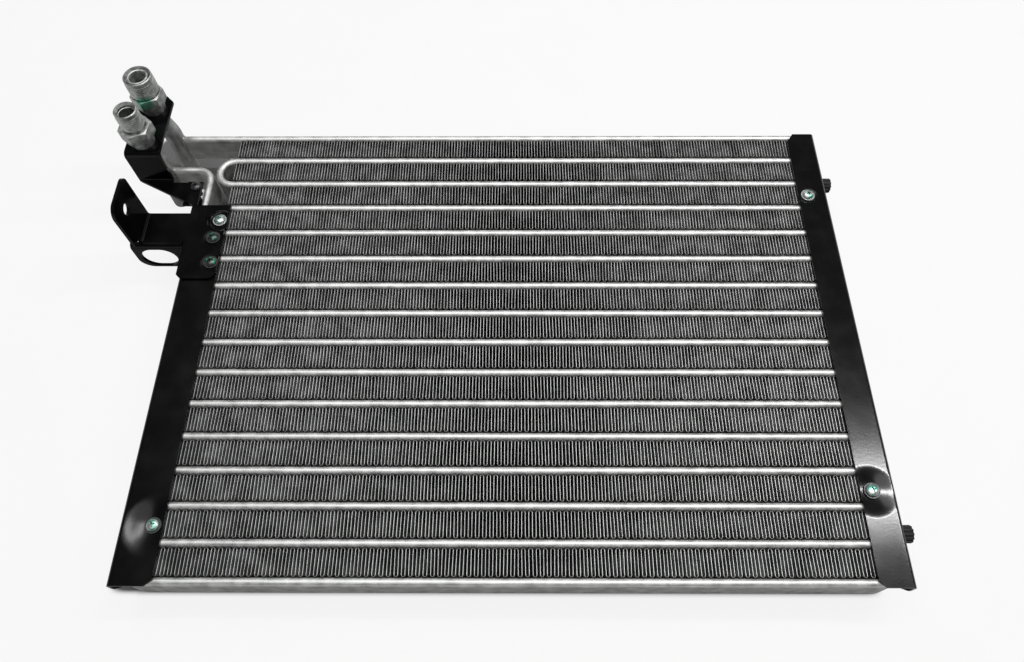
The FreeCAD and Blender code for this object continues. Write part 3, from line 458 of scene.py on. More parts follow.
@dataclass(frozen=True)
class DrawnPipe:
    """Drawn aluminium pipe dulled by the furnace: mid grey with draw lines up its length."""

    name: str = "drawn_aluminium_pipe"
    low: str = "#838483"
    high: str = "#bcbdbb"
    facing: Facing = Facing.ALONG_Z
    # Real draw lines are about 0.1 mm apart and wouldn't show, so these are coarser
    draw_line_mm: float = 0.8
    draw_line_depth_mm: float = 0.1
    mottle_mm: float = 5.0
    line_share: float = 0.5

    def material(self) -> bpy.types.Material:
        """Builds the material.

        Returns:
            The finished material.
        """
        surface = Surface(self.name, metallic=1.0)
        lines = surface.grain(self.draw_line_mm, detail=2.0, stretch=self.facing.value)
        mottle = surface.grain(self.mottle_mm, detail=4.0)
        mixed = surface.add("Mix", {FACTOR: self.line_share, FIRST_NUMBER: mottle, SECOND_NUMBER: lines})
        surface.paint(surface.tones(mixed.outputs[MIXED_NUMBER], self.low, self.high, start=0.32, stop=0.66))
        surface.roughen(mottle, smooth=0.4, rough=0.56)
        surface.emboss(lines, rise=self.draw_line_depth_mm * MM, strength=0.2)
        return surface.material


@dataclass(frozen=True)
class ZincPlate:
    """Zinc plated steel with a thin passivation film: satin grey, patchily green."""

    name: str = "passivated_zinc_plated_steel"
    low: str = "#62998a"
    high: str = "#b4b9b6"
    patch_mm: float = 3.0
    # The plating's real grain is far too fine to show, so this is coarser
    speckle_mm: float = 0.5
    speckle_depth_mm: float = 0.05

    def material(self) -> bpy.types.Material:
        """Builds the material.

        Returns:
            The finished material.
        """
        surface = Surface(self.name, metallic=1.0)
        patches = surface.grain(self.patch_mm, detail=2.0)
        surface.paint(surface.tones(patches, self.low, self.high, start=0.42, stop=0.54))
        speckle = surface.grain(self.speckle_mm, detail=2.0)
        surface.roughen(speckle, smooth=0.3, rough=0.45)
        surface.emboss(speckle, rise=self.speckle_depth_mm * MM, strength=0.2)
        return surface.material


@dataclass(frozen=True)
class BlackedSteel:
    """Phosphated and oiled steel: nearly black, faintly shiny, rubbed to grey metal where it was driven."""

    name: str
    bare_spots: tuple[Vector, ...] = ()
    bare_radius_mm: float = 6.5
    low: str = "#0c0c0d"
    high: str = "#242426"
    bare: str = "#9fa19f"
    dye: Optional[str] = None
    dye_patch_mm: float = 3.0
    smooth: float = 0.35
    dulled: float = 0.15
    # Real phosphate crystals are about 0.01 mm across and wouldn't show, so these are coarser
    crystal_mm: float = 0.4
    crystal_depth_mm: float = 0.05

    def material(self) -> bpy.types.Material:
        """Builds the material.

        Returns:
            The finished material.
        """
        surface = Surface(self.name)
        crystals = surface.grain(self.crystal_mm, detail=3.0)
        colour = surface.tones(crystals, self.low, self.high, start=0.35, stop=0.65)
        if self.dye:
            blotches = surface.grain(self.dye_patch_mm, detail=2.0)
            patch = surface.add("MapRange", {VALUE: blotches, FROM_LOW: 0.53, FROM_HIGH: 0.58}).outputs[0]
            colour = surface.add("Mix", {
                FACTOR: patch, FIRST_COLOUR: colour, SECOND_COLOUR: linear(self.dye)},
                data_type="RGBA").outputs[MIXED_COLOUR]
        for bare_spot in self.bare_spots:
            across = surface.point((1.0, 1.0, 0.0), bare_spot)
            away = surface.add("VectorMath", {0: across}, operation="LENGTH").outputs["Value"]
            bared = surface.add("Math", {0: away, 1: self.bare_radius_mm * MM},
                                operation="LESS_THAN").outputs[0]
            colour = surface.add("Mix", {
                FACTOR: bared, FIRST_COLOUR: colour, SECOND_COLOUR: linear(self.bare)},
                data_type="RGBA").outputs[MIXED_COLOUR]
            metallic = surface.shader.inputs["Metallic"]
            if metallic.is_linked:
                bared = surface.add("Math", {0: bared, 1: metallic.links[0].from_socket},
                                    operation="MAXIMUM").outputs[0]
            surface.tree.links.new(bared, metallic)
        surface.paint(colour)
        surface.roughen(crystals, self.smooth, self.smooth + self.dulled)
        surface.emboss(crystals, rise=self.crystal_depth_mm * MM, strength=0.3)
        return surface.material


@dataclass(frozen=True)
class BushRubber:
    """Moulded black rubber: matt, paler on its ridge crests, where a painted highlight is broken up by
    scuffs.
    """

    name: str
    axis: Vector
    ridge_radius: float
    groove_share: float = 0.9
    base: str = "#0e0e0f"
    highlit_and_scuffed: str = "#29292b"
    sheen: float = 0.2
    scuff_mm: float = 1.5
    bloom_mm: float = 0.6
    # The mould's real texture is too fine to show, so this is coarser
    pore_mm: float = 0.4
    pore_depth_mm: float = 0.05

    def material(self) -> bpy.types.Material:
        """Builds the material.

        Returns:
            The finished material.
        """
        surface = Surface(self.name)
        across = surface.point((0.0, 1.0, 1.0), self.axis)
        away = surface.add("VectorMath", {0: across}, operation="LENGTH").outputs["Value"]
        ridge = surface.add("MapRange", {
            VALUE: away, FROM_LOW: self.groove_share * self.ridge_radius, FROM_HIGH: self.ridge_radius},
            interpolation_type="SMOOTHSTEP").outputs[0]
        scuffs = surface.grain(self.scuff_mm, detail=3.0)
        crests_highlit_and_worn = surface.add("Math", {0: ridge, 1: scuffs}, operation="MULTIPLY").outputs[0]
        # Painted highlight: the ridge crests take the paler tone, broken up by the scuffs
        surface.paint(surface.tones(crests_highlit_and_worn, self.base, self.highlit_and_scuffed, start=0.1, stop=0.6))
        surface.roughen(surface.grain(self.bloom_mm, detail=2.0), smooth=0.5, rough=0.7)
        surface.shader.inputs["Specular IOR Level"].default_value = self.sheen
        pores = surface.grain(self.pore_mm, detail=2.0)
        surface.emboss(pores, rise=self.pore_depth_mm * MM, strength=0.2)
        return surface.material


@dataclass(frozen=True)
class BrazeMetal:
    """Frozen filler metal: dull pale grey, slightly lumpy."""

    name: str = "frozen_braze_metal"
    low: str = "#858685"
    high: str = "#bdbebc"
    lump_mm: float = 1.2
    lump_depth_mm: float = 0.25

    def material(self) -> bpy.types.Material:
        """Builds the material.

        Returns:
            The finished material.
        """
        surface = Surface(self.name, metallic=1.0)
        lumps = surface.grain(self.lump_mm, detail=3.0)
        surface.paint(surface.tones(lumps, self.low, self.high, start=0.35, stop=0.65))
        surface.roughen(lumps, smooth=0.45, rough=0.65)
        surface.emboss(lumps, rise=self.lump_depth_mm * MM, strength=0.5)
        return surface.material


@dataclass(frozen=True)
class PaleSweep:
    """Matt white studio board: in deep shade under the condenser, clean and pale a little way from it.

    Most of its brightness is its own, which keeps it an even white, and that share takes no shadow. The shade
    is drawn instead: dark and close to the metal's foot for the camera, wider and paler in reflections.
    """

    footprints: tuple[tuple[Vector, Vector], ...]
    name: str = "matt_white_studio_board"
    low: str = "#efefef"
    high: str = "#f6f6f6"
    seen: str = "#f7f7f7"
    shaded: str = "#5c5c5c"
    mirrored: str = "#989898"
    own_share: float = 0.93
    edge: float = 3.5 * MM
    fade: float = 1.0 * MM
    corner: float = 12.0 * MM
    mirrored_reach: float = 80.0 * MM
    mottle_mm: float = 40.0
    matt: float = 0.9
    sheen: float = 0.2

    def outside(self, surface: Surface, low: Vector, high: Vector) -> bpy.types.NodeSocket:
        """Gives how far a point lies outside one shaded rectangle, in metres.

        Args:
            surface: the board's material.
            low: the rectangle's lowest corner.
            high: its highest corner.

        Returns:
            The distance's output, below zero inside.
        """
        place = surface.point(centre=(low + high) / 2)
        folded = surface.add("VectorMath", {0: place}, operation="ABSOLUTE").outputs[0]
        beyond = surface.add("VectorMath", {0: folded, 1: tuple((high - low) / 2)}, operation="SUBTRACT")
        parts = surface.add("SeparateXYZ", {0: beyond.outputs[0]})
        return surface.add("Math", {0: parts.outputs["X"], 1: parts.outputs["Y"], 2: self.corner},
                           operation="SMOOTH_MAX").outputs[0]

    def material(self) -> bpy.types.Material:
        """Builds the material.

        Returns:
            The finished material.
        """
        surface = Surface(self.name)
        surface.shader.inputs["Roughness"].default_value = self.matt
        surface.shader.inputs["Specular IOR Level"].default_value = self.sheen
        rays = surface.add("LightPath")
        away, *others = (self.outside(surface, low, high) for low, high in self.footprints)
        for other in others:
            away = surface.add("Math", {0: away, 1: other}, operation="MINIMUM").outputs[0]
        nearer = surface.add("Math", {0: rays.outputs["Is Camera Ray"], 1: self.mirrored_reach,
                                      2: -self.mirrored_reach}, operation="MULTIPLY_ADD").outputs[0]
        away = surface.add("Math", {0: away, 1: nearer}, operation="ADD").outputs[0]
        under = surface.add("MapRange", {
            VALUE: away, FROM_LOW: -self.edge, FROM_HIGH: 0.0, TO_LOW: 1.0, TO_HIGH: 0.0},
            interpolation_type="SMOOTHSTEP").outputs[0]
        board = surface.tones(surface.grain(self.mottle_mm, detail=5.0), self.low, self.high,
                              start=GRAIN_LOW, stop=GRAIN_HIGH)
        shade = surface.add("Mix", {
            FACTOR: rays.outputs["Is Camera Ray"], FIRST_COLOUR: linear(self.mirrored),
            SECOND_COLOUR: linear(self.shaded)}, data_type="RGBA").outputs[MIXED_COLOUR]
        surface.paint(surface.add("Mix", {
            FACTOR: under, FIRST_COLOUR: board, SECOND_COLOUR: shade},
            data_type="RGBA").outputs[MIXED_COLOUR])
        clear = surface.add("MapRange", {
            VALUE: away, FROM_LOW: -self.edge, FROM_HIGH: self.fade, TO_LOW: 0.0, TO_HIGH: self.own_share},
            interpolation_type="SMOOTHSTEP").outputs[0]
        pale = surface.add("Math", {0: rays.outputs["Is Camera Ray"], 1: rays.outputs["Is Glossy Ray"]},
                           operation="MAXIMUM").outputs[0]
        pale = surface.add("Math", {0: pale, 1: rays.outputs["Is Transmission Ray"]},
                           operation="MAXIMUM").outputs[0]
        share = surface.add("Math", {0: clear, 1: pale}, operation="MULTIPLY").outputs[0]
        glow = surface.add("Emission", {"Color": linear(self.seen), "Strength": 1.0})
        blend = surface.add("MixShader", {0: share, 1: surface.shader.outputs[0], 2: glow.outputs[0]})
        surface.tree.links.new(blend.outputs[0], surface.tree.nodes["Material Output"].inputs["Surface"])
        return surface.material


# Modelling steps


# Rings closer than this are welded into one
WELD = 0.002 * MM


def rest() -> None:
    """Leaves edit mode and deselects everything."""
    if bpy.context.object and bpy.context.object.mode != "OBJECT":
        bpy.ops.object.mode_set(mode="OBJECT")
    bpy.ops.object.select_all(action="DESELECT")


def choose(piece: bpy.types.Object) -> None:
    """Selects one piece and makes it active.

    Args:
        piece: the piece to select.
    """
    rest()
    piece.select_set(True)
    bpy.context.view_layer.objects.active = piece


def settle(piece: bpy.types.Object) -> None:
    """Puts a piece's place into its mesh, so that its object sits at the origin."""
    choose(piece)
    bpy.ops.object.transform_apply(location=True, rotation=True, scale=True)


def modify(piece: bpy.types.Object, kind: str, **settings: object) -> None:
    """Adds a modifier and applies it.

    Args:
        piece: the piece to change.
        kind: modifier type.
        settings: its values by name.
    """
    choose(piece)
    modifier = piece.modifiers.new(kind.title(), kind)
    for name, value in settings.items():
        setattr(modifier, name, value)
    bpy.ops.object.modifier_apply(modifier=modifier.name)


def copy_piece(piece: bpy.types.Object, name: str) -> bpy.types.Object:
    """Copies a piece with a mesh of its own.

    Args:
        piece: the piece to copy.
        name: the copy's name.

    Returns:
        The copy.
    """
    choose(piece)
    bpy.ops.object.duplicate(linked=False)
    twin = bpy.context.object
    twin.name = twin.data.name = name
    return twin


def remove(piece: bpy.types.Object) -> None:
    """Deletes a piece that only helped to make others."""
    choose(piece)
    bpy.ops.object.delete()


def join(pieces: Sequence[bpy.types.Object], name: str) -> bpy.types.Object:
    """Joins pieces into one object.

    Args:
        pieces: the pieces to join.
        name: name of the result.

    Returns:
        The joined piece.
    """
    rest()
    for piece in pieces:
        piece.select_set(True)
    bpy.context.view_layer.objects.active = pieces[0]
    if len(pieces) > 1:
        bpy.ops.object.join()
    joined = bpy.context.object
    joined.name = joined.data.name = name
    return joined


def pick_vertices(piece: bpy.types.Object, wanted: Callable[[Vector], bool]) -> None:
    """Selects the vertices of a piece in edit mode by their place.

    Args:
        piece: the piece, in edit mode.
        wanted: test of a vertex's place.
    """
    bpy.ops.mesh.select_mode(type="VERT")
    bpy.ops.mesh.select_all(action="DESELECT")
    shape = bmesh.from_edit_mesh(piece.data)
    for vertex in shape.verts:
        vertex.select = wanted(vertex.co)
    shape.select_flush_mode()
    bmesh.update_edit_mesh(piece.data)


def finish(piece: bpy.types.Object, material: bpy.types.Material, angle: float,
           replaced: Sequence[str] = ()) -> None:
    """Smooths, paints and mounts a new piece.

    Args:
        piece: the finished mesh.
        material: its material.
        angle: edges sharper than this stay crisp, in degrees.
        replaced: CAD nodes that the piece stands for.
    """
    settle(piece)
    bpy.ops.object.shade_smooth_by_angle(angle=math.radians(angle))
    piece.data.materials.clear()
    piece.data.materials.append(material)
    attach(piece, "root")
    if replaced:
        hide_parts(*replaced)
    LOG.info("%s: %d faces", piece.name, len(piece.data.polygons))


def turn(name: str, profile: Sequence[tuple[float, float]], centre: Vector, segments: int,
         bored: bool) -> bpy.types.Object:
    """Turns a round piece from its profile, one ring after another, as on a lathe.

    Args:
        name: the piece's name.
        profile: radius and height of each ring, in millimetres, from the outer foot up and round.
        centre: point on the axis that heights are counted from, in metres.
        segments: how many faces run round it.
        bored: True where the last ring meets the first, False where both ends are closed.

    Returns:
        The turned piece.
    """
    rest()
    (radius, height), *others = profile
    bpy.ops.mesh.primitive_circle_add(vertices=segments, radius=radius * MM, fill_type="NOTHING",
                                      location=centre + Vector((0, 0, height * MM)))
    piece = bpy.context.object
    piece.name = piece.data.name = name
    bpy.ops.object.mode_set(mode="EDIT")
    bpy.ops.mesh.select_mode(type="EDGE")
    bpy.ops.mesh.select_all(action="SELECT")
    for next_radius, next_height in others:
        bpy.ops.mesh.extrude_region_move(
            TRANSFORM_OT_translate={"value": (0, 0, (next_height - height) * MM)})
        if not math.isclose(next_radius, radius):
            share = next_radius / radius
            bpy.ops.transform.resize(value=(share, share, 1),
                                     center_override=centre + Vector((0, 0, next_height * MM)))
        radius, height = next_radius, next_height
    bpy.ops.mesh.select_all(action="SELECT")
    bpy.ops.mesh.remove_doubles(threshold=WELD)
    if not bored:
        bpy.ops.mesh.select_all(action="DESELECT")
        bpy.ops.mesh.select_non_manifold()
        bpy.ops.mesh.fill_holes(sides=0)
    bpy.ops.mesh.select_all(action="SELECT")
    bpy.ops.mesh.normals_make_consistent(inside=False)
    bpy.ops.object.mode_set(mode="OBJECT")
    settle(piece)
    return piece


def thread(radius: float, start: float, stop: float, pitch: float, depth: float) -> list[tuple[float, float]]:
    """Gives a profile of thread rings. Its lead is too small to show, so the rings aren't a helix.

    Args:
        radius: crest radius, in millimetres.
        start: height where the thread starts.
        stop: height where it stops.
        pitch: distance between crests.
        depth: depth of the grooves.

    Returns:
        Radius and height of each ring.
    """
    # Shares of the pitch at which the groove's floor ends and the crest starts and ends
    root_end, crest_start, crest_end = 0.15, 0.5, 0.65
    turns = int((stop - start) / pitch)
    rings = []
    for index in range(turns):
        foot = start + index * pitch
        rings += [(radius - depth, foot), (radius - depth, foot + root_end * pitch),
                  (radius, foot + crest_start * pitch), (radius, foot + crest_end * pitch)]
    rings.append((radius - depth, start + turns * pitch))
    return rings


def cut(piece: bpy.types.Object, tool: bpy.types.Object, keep: Keep) -> None:
    """Cuts a piece with a tool.

    Args:
        piece: the piece that is changed.
        tool: the cutting body, which is deleted afterwards.
        keep: what is kept of the piece.
    """
    modify(piece, "BOOLEAN", operation=keep.value, object=tool, solver="EXACT")
    remove(tool)


# Sub-assemblies


@dataclass
class FinBank:
    """The folded fins between the tube's passes, at their real fold pitch.

    Sizes are in metres and the angle in degrees.
    """

    rows: int = 15
    folds: int = 100
    # Real fin sheet is about 0.1 mm thick and would hardly show, so this is thicker
    sheet: float = 0.3 * MM
    edge_clear: float = 0.1 * MM
    row_width: float = 16 * MM
    bend_steps: int = 4
    fold_weld: float = 0.02 * MM
    waver: float = 0.9 * MM
    waver_size: float = 14 * MM
    crisp_angle: float = 50.0

    def measure_row(self, row: str) -> tuple[Vector, Vector, float, float]:
        """Reads where a row lies and how its sheet folds.

        Args:
            row: CAD node of the row.

        Returns:
            Its lowest and highest corner, the pitch of a fold and the radius of a bend.
        """
        low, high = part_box(row)
        pitch = (high.x - low.x - self.sheet) / self.folds
        return low, high, pitch, pitch / 4

    def fold_one(self, row: str) -> bpy.types.Object:
        """Folds one up-and-down pair of legs from a strip, bend by bend.

        Args:
            row: CAD node of the row that the fold belongs to.

        Returns:
            The fold, an open sheet without thickness.
        """
        low, high, pitch, bend = self.measure_row(row)
        reach = self.edge_clear + self.sheet / 2
        foot, head = low.y + reach + bend, high.y - reach - bend
        start_x = low.x + self.sheet / 2 + bend / 2
        rest()
        bpy.ops.mesh.primitive_plane_add(size=1, location=(0, 0, 0))
        fold = bpy.context.object
        bpy.ops.object.mode_set(mode="EDIT")
        bpy.ops.mesh.select_all(action="SELECT")
        bpy.ops.transform.rotate(value=math.pi / 2, orient_axis="Y", center_override=(0, 0, 0))
        bpy.ops.transform.resize(value=(1, head - foot, high.z - low.z), center_override=(0, 0, 0))
        bpy.ops.transform.translate(value=(start_x, (head + foot) / 2, (high.z + low.z) / 2))
        pick_vertices(fold, lambda place: place.y > (head + foot) / 2)
        bpy.ops.mesh.select_mode(type="EDGE")
        self.bend_round(bend, 1)
        bpy.ops.mesh.extrude_region_move(TRANSFORM_OT_translate={"value": (0, foot - head, 0)})
        self.bend_round(bend, -1)
        bpy.ops.object.mode_set(mode="OBJECT")
        return fold

    def bend_round(self, bend: float, side: int) -> None:
        """Extrudes the selected edge round a half turn to the next leg.

        Args:
            bend: radius of the bend.
            side: 1 for a bend at the row's far side, -1 for one at its near side.
        """
        for step in range(self.bend_steps):
            start, stop = (math.pi * (step + at) / self.bend_steps for at in (0, 1))
            across = bend * (math.cos(start) - math.cos(stop))
            along = side * bend * (math.sin(stop) - math.sin(start))
            bpy.ops.mesh.extrude_region_move(TRANSFORM_OT_translate={"value": (across, along, 0)})

    def build(self) -> None:
        """Folds the first row, copies it to the others and lets each waver in its own way."""
        rows = [f"fin_row_{index:02d}" for index in range(1, self.rows + 1)]
        first_low, _, pitch, _ = self.measure_row(rows[0])
        master = self.fold_one(rows[0])
        modify(master, "ARRAY", count=self.folds, use_relative_offset=False, use_constant_offset=True,
               constant_offset_displace=(pitch, 0, 0), use_merge_vertices=True,
               merge_threshold=self.fold_weld)
        clouds = bpy.data.textures.new("fold_waver", "CLOUDS")
        clouds.noise_scale = self.waver_size
        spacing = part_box(rows[0])[0].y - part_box(rows[1])[0].y
        first_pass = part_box(rows[0])[1].y + (spacing - self.row_width) / 2
        material = FinStock(first_pass=first_pass, row_pitch=spacing).material()
        for index, row in enumerate(rows):
            piece = copy_piece(master, f"fins_{index + 1:02d}")
            piece.location.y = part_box(row)[0].y - first_low.y
            settle(piece)
            modify(piece, "DISPLACE", texture=clouds, texture_coords="GLOBAL", direction="X",
                   strength=self.waver, mid_level=0.5)
            modify(piece, "SOLIDIFY", thickness=self.sheet, offset=0.0)
            finish(piece, material, self.crisp_angle, [row])
        remove(master)


@dataclass
class PortFitting:
    """A port's turned fitting: collar, wrench hexagon and threaded nose with a finished mouth.

    Sizes are in millimetres, and turns and angles in degrees.
    """

    node: str
    nose_radius: float
    bore_radius: float
    mouth: Mouth
    dye_turn: float
    dye_height: float
    dye_radius: float
    collar_radius: float = 7.8
    socket_radius: float = 6.4
    collar_height: float = 6.0
    hexagon_flats: float = 19.6
    hexagon_height: float = 9.3
    hexagon_turn: float = 22.0
    rise: float = 30.0
    chamfer_inset: float = 0.15
    chamfer_drop: float = 0.95
    edge_break: float = 0.15
    edge_angle: float = 25.0
    neck_depth: float = 0.9
    hexagon_wall_start: float = 1.2
    cut_clear: float = 1.0
    thread_pitch: float = 1.5
    thread_depth: float = 0.3
    segments: int = 72
    crisp_angle: float = 30.0

    def axis_point(self) -> Vector:
        """Gives the point on the fitting's axis at its foot."""
        low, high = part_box(self.node)
        return Vector(((low.x + high.x) / 2, (low.y + high.y) / 2, low.z))

    def mouth_profile(self) -> list[tuple[float, float]]:
        """Gives the rings from the rim down to the top of the bore.

        Returns:
            Radius and height of each ring.
        """
        rim = self.nose_radius - 0.8
        if self.mouth is Mouth.PLAIN_CONE:
            return [(rim, self.rise), (self.bore_radius + 0.5, self.rise - 2.0),
                    (self.bore_radius + 0.5, self.rise - 3.4), (self.bore_radius, self.rise - 3.6)]
        lip = self.bore_radius + 1.9
        return [(rim, self.rise), (rim - 0.9, self.rise - 2.4), (lip + 0.3, self.rise - 3.0),
                (lip, self.rise - 1.3), (lip - 0.35, self.rise - 0.85), (lip - 0.95, self.rise - 0.7),
                (self.bore_radius + 0.3, self.rise - 0.95), (self.bore_radius, self.rise - 1.6)]

    def build(self) -> None:
        """Turns the body, mills the hexagon and joins the two."""
        axis = self.axis_point()
        shoulder = self.collar_height + self.hexagon_height
        outer = self.nose_radius
        body = turn(self.node + "_body", [
            (self.collar_radius, 0.0), (self.collar_radius, self.collar_height),
            (outer - self.neck_depth, self.collar_height), (outer - self.neck_depth, shoulder + 0.9),
            *thread(outer, shoulder + 1.0, self.rise - 3.0, self.thread_pitch, self.thread_depth),
            (outer - 0.25, self.rise - 2.6), (outer - 0.25, self.rise - 0.6), (outer - 0.7, self.rise - 0.05),
            *self.mouth_profile(), (self.bore_radius, self.collar_height),
            (self.socket_radius, self.collar_height), (self.socket_radius, 0.0), (self.collar_radius, 0.0),
        ], axis, self.segments, bored=True)
        corner = self.hexagon_flats / 2 / math.cos(math.pi / 6)
        rest()
        bpy.ops.mesh.primitive_cylinder_add(
            vertices=6, radius=corner * MM, depth=self.hexagon_height * MM,
            location=axis + Vector((0, 0, (self.collar_height + self.hexagon_height / 2) * MM)))
        hexagon = bpy.context.object
        bpy.ops.object.mode_set(mode="EDIT")
        bpy.ops.mesh.select_all(action="SELECT")
        bpy.ops.transform.rotate(value=self.turn_needed(hexagon), orient_axis="Z", center_override=axis)
        bpy.ops.object.mode_set(mode="OBJECT")
        settle(hexagon)
        face = self.hexagon_flats / 2 - self.chamfer_inset
        barrel = turn("hexagon_barrel", [
            (face, self.collar_height), (corner + 0.1, self.collar_height + self.chamfer_drop),
            (corner + 0.1, shoulder - self.chamfer_drop), (face, shoulder)], axis, self.segments, bored=False)
        cut(hexagon, barrel, Keep.SHARED)
        wall_start = outer - self.hexagon_wall_start
        core = turn("hexagon_core", [
            (wall_start, self.collar_height - self.cut_clear), (wall_start, shoulder + self.cut_clear)],
            axis, self.segments, bored=False)
        cut(hexagon, core, Keep.REST)
        modify(hexagon, "BEVEL", width=self.edge_break * MM, segments=2, limit_method="ANGLE",
               angle_limit=math.radians(self.edge_angle))
        piece = join([body, hexagon], self.node + "_turned")
        angle = math.radians(self.dye_turn)
        dyed = axis + Vector((math.cos(angle), math.sin(angle), 0)) * self.nose_radius * MM
        dyed.z += self.dye_height * MM
        material = TurnedAluminium(axis=axis, dye_spot=dyed, dye_radius_mm=self.dye_radius,
                                   name=f"machined_aluminium_{self.node}").material()
        finish(piece, material, self.crisp_angle, [self.node])

    def turn_needed(self, hexagon: bpy.types.Object) -> float:
        """Gives the turn that brings a corner of the hexagon to its place.

        Args:
            hexagon: the primitive, centred on its own origin.

        Returns:
            The turn in radians, with the sign that the rotate operator takes without a window.
        """
        place = hexagon.data.vertices[0].co
        now = math.atan2(place.y, place.x)
        return -(math.radians(self.hexagon_turn) - now)


@dataclass
class ScrewPlace:
    """Where one screw's head sits and how long its shank is, in millimetres from the tube's corner."""

    x: float
    y: float
    seat: float
    length: float

    def where(self) -> Vector:
        """Gives the middle of the seat, in metres."""
        return spot(self.x, self.y, self.seat)


@dataclass
class PanScrews:
    """Pan head screws of one CAD node, each with a cross recess and a threaded shank.

    Sizes are in millimetres, and the turn and the angle in degrees. The taper is the share of the recess's
    outline that is left at its floor.
    """

    node: str
    places: tuple[ScrewPlace, ...]
    shank_radius: float = 2.0
    head_radius: float = 3.7
    head_height: float = 2.2
    thread_pitch: float = 0.7
    thread_depth: float = 0.25
    recess_length: float = 3.9
    recess_width: float = 0.95
    recess_depth: float = 1.5
    recess_over: float = 0.6
    recess_taper: float = 0.45
    recess_turn: float = 20.0
    segments: int = 24
    crisp_angle: float = 40.0

    def master(self, length: float) -> bpy.types.Object:
        """Turns one screw with its seat at the origin and cuts its recess.

        Args:
            length: length of the shank, in millimetres.

        Returns:
            The screw.
        """
        head, rise = self.head_radius, self.head_height
        screw = turn("screw", [
            (self.shank_radius - 0.5, -length), (self.shank_radius - 0.25, -length + 0.5),
            *thread(self.shank_radius, -length + 0.5, -0.8, self.thread_pitch, self.thread_depth),
            (self.shank_radius, -0.4), (self.shank_radius, 0.0), (head - 0.2, 0.0), (head, 0.2),
            (head, 0.7), (head - 0.15, 1.1), (head - 0.6, 1.6), (head - 1.4, rise - 0.2), (head - 2.2, rise),
        ], Vector(), self.segments, bored=False)
        middle = rise - (self.recess_depth - self.recess_over) / 2
        for turn_angle in (0.0, math.pi / 2):
            rest()
            bpy.ops.mesh.primitive_cube_add(size=1, location=(0, 0, middle * MM))
            slot = bpy.context.object
            slot.scale = (self.recess_length * MM, self.recess_width * MM,
                          (self.recess_depth + self.recess_over) * MM)
            slot.rotation_euler.z = turn_angle + math.radians(self.recess_turn)
            settle(slot)
            bpy.ops.object.mode_set(mode="EDIT")
            pick_vertices(slot, lambda place: place.z < middle * MM)
            bpy.ops.transform.resize(value=(self.recess_taper, self.recess_taper, 1),
                                     center_override=(0, 0, 0))
            bpy.ops.object.mode_set(mode="OBJECT")
            cut(screw, slot, Keep.REST)
        return screw

    def build(self, material: bpy.types.Material) -> None:
        """Sets a screw at each place.

        Args:
            material: the screws' material.
        """
        screws = []
        for place in self.places:
            screw = self.master(place.length)
            screw.location = place.where()
            settle(screw)
            screws.append(screw)
        finish(join(screws, self.node + "_pan_head"), material, self.crisp_angle, [self.node])


@dataclass
class BrazeBead:
    """Fillet of filler metal round the flat tube where it enters a header.

    Sizes are in millimetres and the angle in degrees.
    """

    name: str
    header_x: float
    header_y: float
    tube_y: float
    header_radius: float = 6.35
    tube_thick: float = 5.0
    tube_depth: float = 22.0
    middle_z: float = 11.0
    bead_radius: float = 0.8
    ring_radius: float = 10.0
    wall_clear: float = 0.05
    crisp_angle: float = 60.0

    def build(self, material: bpy.types.Material) -> None:
        """Bends a ring round the tube's outline and onto the header's wall.

        Args:
            material: the bead's material.
        """
        rest()
        bpy.ops.mesh.primitive_torus_add(major_segments=72, minor_segments=8, major_radius=self.ring_radius,
                                         minor_radius=self.bead_radius)
        bead = bpy.context.object
        half_y, half_z = self.tube_thick / 2, self.tube_depth / 2
        flank = half_z - half_y
        for vertex in bead.data.vertices:
            angle = math.atan2(vertex.co.y, vertex.co.x)
            outward, along = math.hypot(vertex.co.x, vertex.co.y) - self.ring_radius, vertex.co.z
            # A rounded oblong: half circles above and below, straight flanks between
            rise = math.sin(angle) * half_z
            bend = max(-flank, min(flank, rise))
            over = min(1.0, max(0.0, (abs(rise) - flank) / half_y))
            normal = Vector((0, math.copysign(math.sqrt(1 - over * over), math.cos(angle)),
                             math.copysign(over, rise)))
            place = Vector((0, self.tube_y, self.middle_z + bend)) + normal * (half_y + outward)
            across = min(abs(place.y - self.header_y), self.header_radius - self.wall_clear)
            wall = math.sqrt(self.header_radius ** 2 - across ** 2)
            place.x = self.header_x + wall + along
            vertex.co = spot(*place)
        bpy.ops.object.mode_set(mode="EDIT")
        bpy.ops.mesh.select_all(action="SELECT")
        bpy.ops.mesh.normals_make_consistent(inside=False)
        bpy.ops.object.mode_set(mode="OBJECT")
        bead.name = bead.data.name = self.name
        finish(bead, material, self.crisp_angle)


